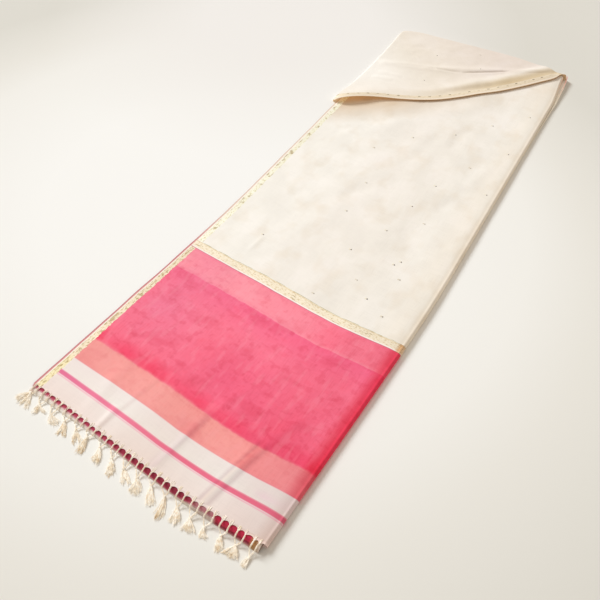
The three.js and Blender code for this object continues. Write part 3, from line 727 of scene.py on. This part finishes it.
def cotton_painted_glow():
    """Underside of the turned-over cloth, with a painted glow that stands in for daylight through
    the thin cotton, most where the hem stands open at the selvedge."""
    material, add, grain, _, along_hem = woven_material("handloom_cotton_painted_glow")
    tone = add(RAMP, grain(40, 60, 2, 19), (0.3, "#D8B88C"), (0.7, "#E8CEA6"))
    along_share = add(DIVIDE, along_hem, 800)
    glow = add(RAMP, along_share, (0, 0.46), (0.22, 0.36), (0.36, 0.16), (0.7, 0.13))
    add(OUTPUT, add(SHADER, tone, 0.85, None, 0.2, tone, glow))
    return material


def cotton_under_layers():
    """Layers below the top one: cream cotton whose selvedges took pink dye beside the pallu."""
    material, add, grain, across, along = woven_material("handloom_cotton_selvedges")
    share = add(DIVIDE, across, 30)
    # Darkest at the very edge of each layer, where the shade along that edge is painted
    dyed = add(RAMP, share, (0, "#AE6064"), (0.07, "#C87E80"), (0.15, "#DE9E98"), (0.22, "#EECFC0"),
               (0.34, "#F1E4C8"), (0.8, "#EFE6C2"), (0.84, CREAM))
    plain = add(RAMP, share, (0, "#DCCBB2"), (0.1, "#EADDC8"), (0.25, "#F5EDDD"), (0.84, CREAM))
    by_pallu = add(RAMP, add(DIVIDE, along, 1000), (0.48, 1), (0.62, 0.35), (1, 0.2))
    colour = add(BLEND, by_pallu, plain, dyed)
    finish_cotton(add, grain, across, along, colour)
    return material


def cotton_folded_back():
    """Crimson-dyed cotton that pales towards its lower side, unevenly from left to right."""
    material, add, grain, down, across = woven_material("handloom_cotton_crimson")
    sideways = add(DIVIDE, across, RAMP_WIDTH)
    # How much further down the dye reaches, from left to right
    reach = add(RAMP, sideways, (0.02, 0), (0.3, 0.03), (0.42, 0.1), (0.62, 0.15), (0.68, 0.12),
                (0.71, 0.04), (0.78, 0.05))
    ragged = add(MULTIPLY_ADD, grain(4, 12, 1, 15), 0.1, reach)
    depth = add(DIVIDE, add(SUBTRACT, down, 40), 36)
    # Its darkest crimson along the top is painted shadow under the top cloth's edge
    colour = add(RAMP, add(SUBTRACT, depth, ragged), (0.02, "#9A2A40"), (0.08, "#AE2E48"),
                 (0.14, "#BE4660"), (0.2, "#D29098"), (0.25, "#E8CEC4"), (0.31, "#F5ECE0"),
                 (0.9, "#F5ECE0"))
    # On the right, the darkest band part way down is painted shadow of a folded layer
    deep = add(RAMP, depth, (0.08, "#9E1A34"), (0.2, "#C42646"), (0.4, "#CC3250"), (0.48, "#982038"),
               (0.58, "#BC5A6C"), (0.72, "#E6CCC0"))
    is_deep = add(RAMP, sideways, (0.785, 0), (0.8, 1))
    colour = add(BLEND, is_deep, colour, deep)
    # Dusty stretch, cream right end, its golden corner, and paler left end
    for tint, *stops in (
        ("#CBA4A4", (0.7, 0), (0.73, 0.45), (0.78, 0.45), (0.8, 0)),
        ("#EBDACC", (0.93, 0), (0.945, 1)),
        ("#BE9458", (0.915, 0), (0.925, 0.85), (0.935, 0.85), (0.95, 0)),
        ("#C9A3A0", (0.012, 0.8), (0.03, 0)),
    ):
        colour = add(BLEND, add(RAMP, sideways, *stops), colour, tint)
    lines = add(RAMP, grain(1.4, 60, 1, 3), (0.38, 0.8), (0.5, 1))
    colour = add(DEEPEN, 1, colour, lines)
    finish_cotton(add, grain, down, across, colour)
    return material


def cotton_return():
    """The triangle's cloth seen from its edge: cream, with its pink selvedge on top, and a painted
    glow.
    """
    material, add, grain, up, along = woven_material("handloom_cotton_return")
    height = add(DIVIDE, up, 16)
    plain = add(RAMP, height, (0, "#E6D8C2"), (0.5, "#F2E7D4"), (0.85, "#DCC8A6"), (1, "#F6ECDC"))
    dyed = add(RAMP, height, (0, "#E6D2BC"), (0.55, "#F2E0D0"), (0.8, "#E4A898"), (1, "#D87C70"))
    by_corner = add(RAMP, add(DIVIDE, along, 1800), (0.89, 0), (0.95, 1))
    colour = add(BLEND, by_corner, plain, dyed)
    # The glow is painted light, brighter towards the top, standing in for daylight through the thin
    # cotton
    finish_cotton(add, grain, up, along, colour, None, add(RAMP, height, (0, 0.12), (1, 0.3)))
    return material


def cotton_thread():
    """Loose two-ply cotton thread: off-white, tan and grey towards the cut ends."""
    material, add = new_material("cotton_thread")
    place_on_piece = add(PLACE_ON_PIECE)
    split = add(SPLIT, place_on_piece).node
    tone = add(NOISE, place_on_piece, 160, 2)
    from_knot = add(SUBTRACT, -0.88, split.outputs["Y"])
    some = add(RAMP, add(NOISE, place_on_piece, 26, 0), (0.42, 0.25), (0.58, 1))
    worn = add(DIVIDE, add(MULTIPLY, from_knot, some), 0.034)
    clean = add(RAMP, tone, (0.38, "#EEDFC6"), (0.5, "#F7EBD8"), (0.6, "#FCF4E6"))
    tan_ends = add(RAMP, tone, (0.36, "#C8A67A"), (0.5, "#E6D0AC"), (0.62, "#F4E8D2"))
    colour = add(BLEND, add(RAMP, worn, (0.35, 0), (1, 0.85)), clean, tan_ends)
    # A faint painted glow in the thread's own colour stands in for light through the loose threads
    add(OUTPUT, add(SHADER, colour, 0.85, 0.2, 0.25, colour, 0.13))
    return material


def buti_thread(name, dark, light):
    """Extra-weft thread of a small woven buti, a few floats of metal thread or cotton."""
    material, add = new_material(name)
    place_on_piece = add(PLACE_ON_PIECE)
    tone = add(NOISE, place_on_piece, 900, 1)
    colour = add(RAMP, tone, (0.4, dark), (0.6, light))
    worn = add(RAMP, add(NOISE, place_on_piece, 11, 0), (0.52, 0), (0.66, 0.6))
    colour = add(BLEND, worn, colour, "#CFC2AE")
    add(OUTPUT, add(SHADER, colour, 0.6))
    return material


def studio_paper():
    """Matt warm-white studio paper, with painted light: brighter round the middle and at the back."""
    material, add = new_material("studio_paper")
    place_on_piece = add(PLACE_ON_PIECE)
    # Painted light: a pool of light round the middle, darker towards the edges
    from_middle = add(DISTANCE, place_on_piece, (-0.35, -0.2, 0))
    colour = add(RAMP, add(DIVIDE, from_middle, 2), (0, "#F4F2EE"), (0.22, "#F4F2ED"), (0.4, "#EEEBE4"),
                 (0.48, "#E5E1D8"), (0.6, "#D9D5CB"), (0.85, "#DCD8CE"))
    # Painted light: a brighter, bluer patch at the back
    from_back = add(DISTANCE, place_on_piece, (-0.75, 0.72, 0))
    at_back = add(RAMP, from_back, (0.3, 1), (0.85, 0))
    colour = add(BLEND, at_back, colour, "#EDE9E4")
    add(OUTPUT, add(SHADER, colour, 0.9))
    return material


# Camera

CAMERA_PLACE = Vector((0.52502, -1.15207, 1.08936))
CAMERA_PITCH = 0.86636
CAMERA_ROLL = 0.03040
CAMERA_YAW = -0.56690
LENS = 38.04


def add_camera():
    ahead = Vector((math.sin(CAMERA_YAW) * math.cos(CAMERA_PITCH),
                    math.cos(CAMERA_YAW) * math.cos(CAMERA_PITCH), -math.sin(CAMERA_PITCH)))
    right = Vector((math.cos(CAMERA_YAW), -math.sin(CAMERA_YAW), 0))
    up = right.cross(ahead)
    rolled_right = math.cos(CAMERA_ROLL) * right + math.sin(CAMERA_ROLL) * up
    rolled_up = -math.sin(CAMERA_ROLL) * right + math.cos(CAMERA_ROLL) * up
    data = bpy.data.cameras.new("camera")
    data.lens = LENS
    data.sensor_width = 36
    camera = new_piece("camera", data)
    turn = Matrix((rolled_right, rolled_up, -ahead)).transposed().to_4x4()
    camera.matrix_world = Matrix.Translation(CAMERA_PLACE) @ turn
    scene.camera = camera


def add_light(name, kind, place_of, target, power, colour, settings):
    data = bpy.data.lights.new(name, kind)
    data.energy = power
    data.color = colour
    for key, value in settings.items():
        setattr(data, key, value)
    light = new_piece(name, data)
    light.location = place_of
    light.rotation_euler = (Vector(target) - Vector(place_of)).to_track_quat("-Z", "Y").to_euler()


add_camera()

# Top cloth

pallu_material = cotton_pallu()
zari_material = zari_cross_band()
body_material = cotton_body()


def give(piece, material, slot_name, *nodes):
    piece.data.materials.append(material)
    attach(piece, "root")
    if nodes:
        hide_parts(*nodes)


def leg_places():
    """Across places of the twisted legs of thread, two to a tassel, from the left."""
    last = len(TASSEL_TIPS) - 1
    knots = [lerp(KNOT_FIRST, KNOT_LAST, i / last) for i in range(last + 1)]
    return [clamp(knot + side * LEG_SPREAD, LEG_FIRST, LEG_LAST) for knot in knots for side in (-1, 1)]


LEGS = leg_places()
SCALLOP_FORWARD = 1.4
SCALLOP_BACK = 2.8
SCALLOP_HALF = 8
SCALLOP_FADE = 9
# The middle of the knotted end is drawn forward over the folded-back layer: across, how far
END_FORWARD = ((0, 0), (90, 1), (180, 5), (300, 7), (450, 6), (580, 3))
END_FORWARD_FADE = 40


def scallop(across, along):
    """The legs pull the cloth's end forward, and it arches back between them."""
    near = clamp(min(abs(across - leg) for leg in LEGS) / SCALLOP_HALF)
    arch = lerp(-SCALLOP_FORWARD, SCALLOP_BACK, 1 - (1 - near) ** 2)
    forward = read_table(END_FORWARD, across) * (1 - smooth(0, END_FORWARD_FADE, along))
    return arch * (1 - smooth(0, SCALLOP_FADE, along)) - forward


def top_surface(start, end):
    def surface(column, row):
        along = lerp(start, end, row)
        across, height = top_section(column, along)
        shift = scallop(across, along) if along < END_FORWARD_FADE else 0.0
        return place(across, along + shift, height), along
    return surface


for band, start, end, columns, rows, slot_name, node_name in BANDS:
    piece = cloth(f"{band}_cloth", columns, rows, top_surface(start, end))
    give(piece, zari_material if band == "zari_band" else pallu_material, slot_name, node_name)

BODY_END = FAR_ALONG - FAR_CLEAR
body_cloth = cloth("body_cloth", 160, 270, top_surface(ZARI_BAND_END, BODY_END))
give(body_cloth, body_material, "cream_cotton", "body_ground")

# Layers whose edges show on the left side

# Height as a share of the stack, and how far in the edge lies
LAYERS = ((0.80, 0.0), (0.60, 2.6), (0.42, 0.8), (0.24, 3.4))
LAYER_DEPTH = 150
LAYER_END = 1560
LAYER_WAVE = 1.1
LAYER_DROOP = (0.9, 5)  # height and width
BASE_START = 22


def layer_surface(share_up, inset):
    def surface(column, row):
        along = lerp(-4 if inset else 0, LAYER_END, row)
        wave = LAYER_WAVE * noise.noise(Vector((along / 85, share_up * 10, 0)))
        edge = LEFT_INSET + inset + wave
        across = edge + LAYER_DEPTH * column ** 1.5
        droop = LAYER_DROOP[0] * bump(across - edge, LAYER_DROOP[1])
        height = share_up * top_height(across, along) - droop * share_up
        return place(across, along, height), along
    return surface


def base_surface(column, row):
    across = lerp(LEFT_INSET + 2, FOLDED_WIDTH - TURN_UNDER - TUCK, column)
    along = lerp(BASE_START, BODY_END, row)
    return place(across, along, CLOTH_THICKNESS + FLOOR_CLEAR), along


def join(name, parts):
    """Joins sheets into one piece, each already with its wall."""
    graph = bpy.context.evaluated_depsgraph_get()
    whole = bmesh.new()
    for part in parts:
        evaluated = part.evaluated_get(graph)
        whole.from_mesh(evaluated.to_mesh())
        evaluated.to_mesh_clear()
        bpy.data.objects.remove(part)
    return mesh_piece(name, whole)


layer_parts = [cloth(f"layer_{i}", 14, 190, layer_surface(*row)) for i, row in enumerate(LAYERS)]
layer_parts.append(cloth("layer_base", 24, 90, base_surface))
folded_layers = join("folded_layers", layer_parts)
give(folded_layers, cotton_under_layers(), "cream_cotton", "hidden_layers")

# Layer folded back below

FLAT_WIDTH = FOLDED_WIDTH - SHOULDER  # from here the layer slopes down towards the width fold
NOSE_DEPTH = 44
NOSE_END_INSET = 9
NOSE_UNDER_TOP = 1.0
NOSE_POWER = 1.7  # below 2 the layer slopes down to the floor rather than standing up
# Shares of the section at which the flat top and the front end, and how far it runs back below
NOSE_FLAT = 0.42
NOSE_FRONT = 0.85
NOSE_BACK = 24


def nose_surface(column, row):
    across = lerp(LEFT_INSET + 5, FOLDED_WIDTH - NOSE_END_INSET, row)
    crown = crown_height(min(across, FLAT_WIDTH)) + soft_folds(across, 0)
    if across > FLAT_WIDTH:
        out = (across - FLAT_WIDTH) / SHOULDER
        crown *= WAIST + (1 - WAIST) * rounded(out, 2)
    top = crown - NOSE_UNDER_TOP
    reach = NOSE_REACH - NOSE_START + 1.2 * noise.noise(Vector((across / 50, 4.4, 0)))
    if column < NOSE_FLAT:
        along = lerp(NOSE_DEPTH, -NOSE_START, column / NOSE_FLAT)
        return place(across, along, top), across
    if column < NOSE_FRONT:
        angle = math.pi / 2 * (column - NOSE_FLAT) / (NOSE_FRONT - NOSE_FLAT)
        out = math.sin(angle) ** (2 / NOSE_POWER)
        height = max(top * rounded(out, NOSE_POWER), FLOOR_CLEAR)
        return place(across, -NOSE_START - reach * out, height), across
    along = lerp(-NOSE_START, NOSE_BACK, (column - NOSE_FRONT) / (1 - NOSE_FRONT))
    return place(across, along, FLOOR_CLEAR), across


folded_back = cloth("folded_back_cloth", 46, 200, nose_surface)
give(folded_back, cotton_folded_back(), "under_pink", "folded_back_layer")

# Turned-over triangle

DENSE_STEPS = 24


def spline_points(table, count):
    """Points at even steps of length along a centripetal curve through a table's rows."""
    points = [Vector(row) for row in table]
    points = [2 * points[0] - points[1]] + points + [2 * points[-1] - points[-2]]
    dense = []

    def between(first, last, start, end):
        return first * ((end - at) / (end - start)) + last * ((at - start) / (end - start))

    for a, b, c, d in zip(points, points[1:], points[2:], points[3:]):
        at_b = math.sqrt((b - a).length)
        at_c = at_b + math.sqrt((c - b).length)
        at_d = at_c + math.sqrt((d - c).length)
        for step in range(DENSE_STEPS):
            at = lerp(at_b, at_c, step / DENSE_STEPS)
            bc = between(b, c, at_b, at_c)
            abc = between(between(a, b, 0.0, at_b), bc, 0.0, at_c)
            bcd = between(bc, between(c, d, at_c, at_d), at_b, at_d)
            dense.append(between(abc, bcd, at_b, at_c))
    dense.append(points[-2])
    lengths = [0.0]
    for before, after in zip(dense, dense[1:]):
        lengths.append(lengths[-1] + (after - before).length)
    evened = []
    index = 0
    for step in range(count + 1):
        wanted = lengths[-1] * step / count
        while index < len(lengths) - 2 and lengths[index + 1] < wanted:
            index += 1
        share = (wanted - lengths[index]) / (lengths[index + 1] - lengths[index])
        evened.append(dense[index].lerp(dense[index + 1], clamp(share)))
    return evened, lengths[-1]


FLAP_ROWS = 260
FLAP_COLUMNS = 165
# Share of a row at which the wall starts to turn down, and how its columns crowd to the hem
BROW = 0.86
HEM_CROWDING = 1.25
# Roll of cloth and hollow beside the hem: height, distance from the hem, width
HEM_ROLL = (4.2, 70, 20)
HEM_HOLLOW = (-2.6, 36, 12)
ROLL_FROM = 190
ROLL_TO = 400
FLAP_UNEVENNESS = 1.2
hem_points, hem_length = spline_points(HEM, FLAP_ROWS)
outline_points, _ = spline_points([(a, b, 0) for a, b in FLAP_OUTLINE], FLAP_ROWS)


def flap_height(across, along, distance, lift):
    ridges = max(line[4] * bump(line_distance(across, along, line)[0], line[5])
                 for line in FLAP_RIDGES)
    creases = crease_height(across, along, FLAP_CREASES)
    body = crown_height(across) + FLAP_BASE + lift * bump(distance, HEM_LIFT_REACH)
    roll = sum(height * bump(distance - at, width) for height, at, width in (HEM_ROLL, HEM_HOLLOW))
    roll *= smooth(ROLL_FROM, ROLL_TO, across)
    waves = FLAP_UNEVENNESS * unevenness(across, along, 5.0) * smooth(0, 40, distance)
    return body + ridges + creases + roll + waves


def flap_surface(column, row):
    index = round(row * FLAP_ROWS)
    hem = hem_points[index]
    foot = outline_points[index]
    run = Vector((foot.x - hem.x, foot.y - hem.y))
    length = run.length
    edge = min(FLAP_EDGE, length * FLAP_EDGE_SHARE)
    lift = hem.z - crown_height(hem.x) - FLAP_BASE
    distance = (length - edge) * min(column / BROW, 1.0) ** HEM_CROWDING
    across = hem.x + run.x * distance / length
    along = hem.y + run.y * distance / length
    height = flap_height(across, along, distance, lift)
    if column > BROW:
        angle = math.pi / 2 * (column - BROW) / (1 - BROW)
        distance = length - edge * (1 - math.sin(angle))
        across = hem.x + run.x * distance / length
        along = hem.y + run.y * distance / length
        height = max(height * math.cos(angle), FLOOR_CLEAR)
    return place_true(across, along, height), hem_length * row


triangle = cloth("turned_over_cloth", FLAP_COLUMNS, FLAP_ROWS, flap_surface, turned=True)
give(triangle, cotton_triangle(), "cream_cotton", "turned_over_triangle")
# Its underside gets the painted glow
triangle.data.materials.append(cotton_painted_glow())
triangle.modifiers["cloth wall"].material_offset = 1

# Standing edge at the fold


def return_surface(column, row):
    along = lerp(RETURN_EDGE[0][0], RETURN_EDGE[-1][0], row)
    off = read_table(RETURN_EDGE, along, 1)
    lean = read_table(RETURN_EDGE, along, 2)
    height = read_table(RETURN_EDGE, along, 3)
    across = stack_width(along) + off - lean * column ** 2
    return place_true(across, along, max(height * column, FLOOR_CLEAR)), along


return_cloth = cloth("return_cloth", 12, 120, return_surface, turned=True)
give(return_cloth, cotton_return(), "cream_cotton", "return_edge")

# Fringe

THREAD_RADIUS = 0.44
LEG_THREADS = 6
LEG_STEPS = 12
LEG_TWIST = 1.2
LEG_TURN = 7.0
LEG_LEAN = 1.2
LEG_CLEAR = 1.5
# How far a bunch's first thread and the others start from its middle
FIRST_STRAY = 4.2
STRAY = 2.6
STRAND_CLEAR = 0.1
TO_KNOT_STEPS = 6
KNOT_LOOPS = 4
KNOT_STEPS = 12
KNOT_WIDTH = 2.1
KNOT_HALF_LENGTH = 1.7
LOCK_THREADS = 11
LOCK_FAN = 10
CORNER_KNOT_ALONG = -17
CORNER_FAN = 20
CORNER_REACH = 1.15
TAIL_STEPS = 9
thread_material = cotton_thread()


def add_strand(curve, points, start_radius=1.0, end_radius=1.0):
    spline = curve.splines.new("POLY")
    spline.points.add(len(points) - 1)
    for i, (spline_point, point) in enumerate(zip(spline.points, points)):
        spline_point.co = (*(point * MM), 1.0)
        spline_point.radius = lerp(start_radius, end_radius, i / (len(points) - 1))


def nose_path(across, angle_degrees, clear):
    """A point in front of the folded-back layer, at an angle up from its middle."""
    crown = crown_height(min(across, FLAT_WIDTH)) + soft_folds(across, 0) - NOSE_UNDER_TOP
    if across > FLAT_WIDTH:
        crown *= shoulder_drop((across - FLAT_WIDTH) / SHOULDER)
    half = crown / 2
    angle = math.radians(angle_degrees)
    reach = NOSE_REACH - NOSE_START + clear
    return (-NOSE_START - reach * math.cos(angle), half + (half + clear) * math.sin(angle))


def cloth_top(across):
    """Height of the top cloth just behind its knotted end."""
    if across < FLAT_WIDTH:
        return top_height(across, 3)
    return top_height(FLAT_WIDTH, 3) * shoulder_drop((across - FLAT_WIDTH) / SHOULDER)


def add_leg(curve, leg, knot):
    """A bunch of warp threads, twisted together, that runs down the front to the knot."""
    lean = random.uniform(-LEG_LEAN, LEG_LEAN)
    for thread in range(LEG_THREADS):
        phase = 2 * math.pi * thread / LEG_THREADS
        stray = FIRST_STRAY if thread == 0 else STRAY
        start = clamp(leg + random.uniform(-stray, stray), 9.5, 570)
        points = [place(start, random.uniform(2.0, 5.0), cloth_top(start) + THREAD_RADIUS)]
        for step in range(LEG_STEPS):
            share = step / (LEG_STEPS - 1)
            twist = phase + LEG_TURN * share
            gathered = smooth(0.0, 0.25, share)
            across = lerp(start, leg + lean * share, gathered)
            across += LEG_TWIST * math.cos(twist) * gathered
            clear = LEG_CLEAR + 0.9 * LEG_TWIST * math.sin(twist) * gathered
            along, height = nose_path(leg, lerp(88, 4, share), clear)
            points.append(place(across, along, max(height, THREAD_RADIUS + STRAND_CLEAR)))
        front = points[-1]
        goal = knot + Vector([random.uniform(-off, off) for off in (1.2, 1, 0.6)])
        for step in range(1, TO_KNOT_STEPS + 1):
            share = step / TO_KNOT_STEPS
            point = front.lerp(goal, share)
            point.x += 0.9 * math.sin(phase + LEG_TURN + 3.0 * share) * (1 - share)
            points.append(point)
        add_strand(curve, points, 0.9)


def add_knot(curve, knot, ahead, side_axis):
    """Turns of thread round the gathered bunch."""
    last = KNOT_LOOPS - 1
    for loop in range(KNOT_LOOPS):
        points = []
        tilt = random.uniform(-0.6, 0.6)
        width = KNOT_WIDTH - 0.3 * abs(loop - last / 2)
        for step in range(KNOT_STEPS + 1):
            angle = 2 * math.pi * step / KNOT_STEPS
            start = lerp(-KNOT_HALF_LENGTH, KNOT_HALF_LENGTH, loop / last)
            shift = ahead * (start + tilt * math.sin(angle))
            ring = side_axis * width * math.cos(angle)
            points.append(knot + shift + ring + Vector((0, 0, 0.92 * width * math.sin(angle))))
        add_strand(curve, points, 1.7, 1.7)


def add_lock(curve, knot, ahead, side_axis, fan_out, reach, swing):
    """Loose threads that keep together as they leave the knot, and part at the cut end."""
    curl = swing + random.uniform(-3.0, 3.0)
    lift = random.uniform(0.2, 1.0)
    reach *= random.uniform(0.82, 1.16)
    for _ in range(LOCK_THREADS):
        off = random.uniform(-1, 1)
        length = reach * random.uniform(0.74, 1.12)
        high = clamp(lift + random.uniform(-0.3, 0.3))
        wave = random.uniform(0, 6.28)
        end_part = random.uniform(-3.2, 3.2)
        points = []
        for step in range(TAIL_STEPS):
            share = step / (TAIL_STEPS - 1)
            fan = fan_out * share ** 0.85
            within = (0.7 + 2.3 * math.sin(math.pi * 0.7 * share)) * off
            sway = curl * share ** 2 + 0.35 * math.sin(wave + 8 * share) + end_part * share ** 4
            height = lerp(lerp(1.4, 4.8, high), lerp(0.5, 2.6, high), share ** 1.3)
            point = knot + ahead * (length * share) + side_axis * (fan + within + sway)
            points.append(Vector((point.x, point.y, max(height, THREAD_RADIUS + STRAND_CLEAR))))
        add_strand(curve, points, 1.0, 0.75)


def make_tassel(number, tip):
    random.seed(100 + number)
    name = f"knotted_tassel_{number + 1:02d}"
    curve = bpy.data.curves.new(name, "CURVE")
    curve.dimensions = "3D"
    curve.bevel_depth = THREAD_RADIUS * MM
    curve.bevel_resolution = 0
    curve.use_fill_caps = True
    corner = number == 0
    knot_across = lerp(KNOT_FIRST, KNOT_LAST, number / (len(TASSEL_TIPS) - 1))
    knot_along = CORNER_KNOT_ALONG if corner else KNOT_ALONG + random.uniform(-3.5, 3.5)
    knot = place(lerp(knot_across, tip[0], 0.25), knot_along, KNOT_HEIGHT)
    for leg in LEGS[2 * number:2 * number + 2]:
        add_leg(curve, leg, knot)
    end = place(*tip, 0)
    ahead = Vector((end.x - knot.x, end.y - knot.y, 0))
    reach = ahead.length
    ahead.normalize()
    side_axis = Vector((-ahead.y, ahead.x, 0))
    add_knot(curve, knot, ahead, side_axis)
    swing = random.uniform(-8.0, 4.5)
    reach *= CORNER_REACH if corner else 1.0
    locks = 9 if corner else random.choice((4, 4, 5))
    widest = CORNER_FAN if corner else LOCK_FAN * random.uniform(0.45, 1.35)
    for lock in range(locks):
        aim = lerp(-1, 1, (lock + random.uniform(0.2, 0.8)) / locks)
        add_lock(curve, knot, ahead, side_axis, widest * aim, reach, swing)
    give(new_piece(name, curve), thread_material, "tassel_thread", f"tassel_{number + 1:02d}")


for number, tip in enumerate(TASSEL_TIPS):
    make_tassel(number, tip)

# Woven butis

BUTIS = (
    (132, 608), (339, 514), (341, 682), (401, 603), (448, 565), (452, 694), (462, 711), (484, 658),
    (386, 787), (457, 862), (403, 904), (266, 797), (259, 924), (424, 1011), (208, 1073),
    (552, 1053), (476, 1133), (283, 1176), (384, 1255), (545, 1252), (462, 1355), (543, 1460),
    (501, 540),
)
FLAP_BUTIS = ((163, 1638), (288, 1721), (187, 1474), (320, 1629))
CLEAR_OF_HEM = 200


def buti_height(across, along):
    shoulder = stack_width(along) - SHOULDER
    if across <= shoulder:
        return top_height(across, along)
    return top_height(shoulder, along) * shoulder_drop((across - shoulder) / SHOULDER)


def make_butis(name, shift, half_across, half_along, rise):
    """Small lens-shaped floats of thread that follow the cloth below them."""
    whole = bmesh.new()
    spots = [(a, b, False) for a, b in BUTIS] + [(a, b, True) for a, b in FLAP_BUTIS]
    for across, along, on_flap in spots:
        made = bmesh.ops.create_uvsphere(whole, u_segments=10, v_segments=6, radius=1.0)
        for vertex in made["verts"]:
            here_across = across + shift + vertex.co.x * half_across
            here_along = along + vertex.co.y * half_along
            height = vertex.co.z * rise
            if on_flap:
                height += flap_height(here_across, here_along, CLEAR_OF_HEM, 0)
            else:
                height += buti_height(here_across, here_along)
            vertex.co = place_true(here_across, here_along, height) * MM
    return mesh_piece(name, whole, shaded_round=True)


# The dark floats, right of the pale ones, are partly brown thread and partly painted shade on each
# buti's side away from the light
dark_butis = make_butis("buti_dark_floats", 0, 1.7, 2.0, 0.35)
give(dark_butis, buti_thread("dark_buti_thread_and_shade", "#4E4238", "#7A6A58"), "zari_gold")
pale_butis = make_butis("buti_pale_floats", -4.0, 2.8, 2.4, 0.25)
give(pale_butis, buti_thread("pale_buti_thread", "#E7D9BD", "#F5EEDD"), "zari_gold")

# Floor and lights

floor_form = bmesh.new()
bmesh.ops.create_grid(floor_form, x_segments=4, y_segments=4, size=6.0)
floor = mesh_piece("floor", floor_form)
floor.data.materials.append(studio_paper())

KEY_WIDTH = math.radians(22)
add_light("key", "SUN", (-3.0, 0.95, 2.25), (0.0, 0.0, 0.0), 3.1, (0.885, 0.946, 1.0),
          {"angle": KEY_WIDTH})
add_light("overhead", "AREA", (-0.3, 0.1, 4.0), (-0.1, 0.1, 0.0), 22.0, (1.0, 0.96, 0.91),
          {"shape": "DISK", "size": 3.0})
world = bpy.data.worlds.new("studio")
world.use_nodes = True
world.node_tree.nodes["Background"].inputs["Color"].default_value = (1.0, 0.90, 0.80, 1.0)
world.node_tree.nodes["Background"].inputs["Strength"].default_value = 0.42
scene.world = world
scene.view_settings.view_transform = "Standard"
scene.view_settings.look = "None"
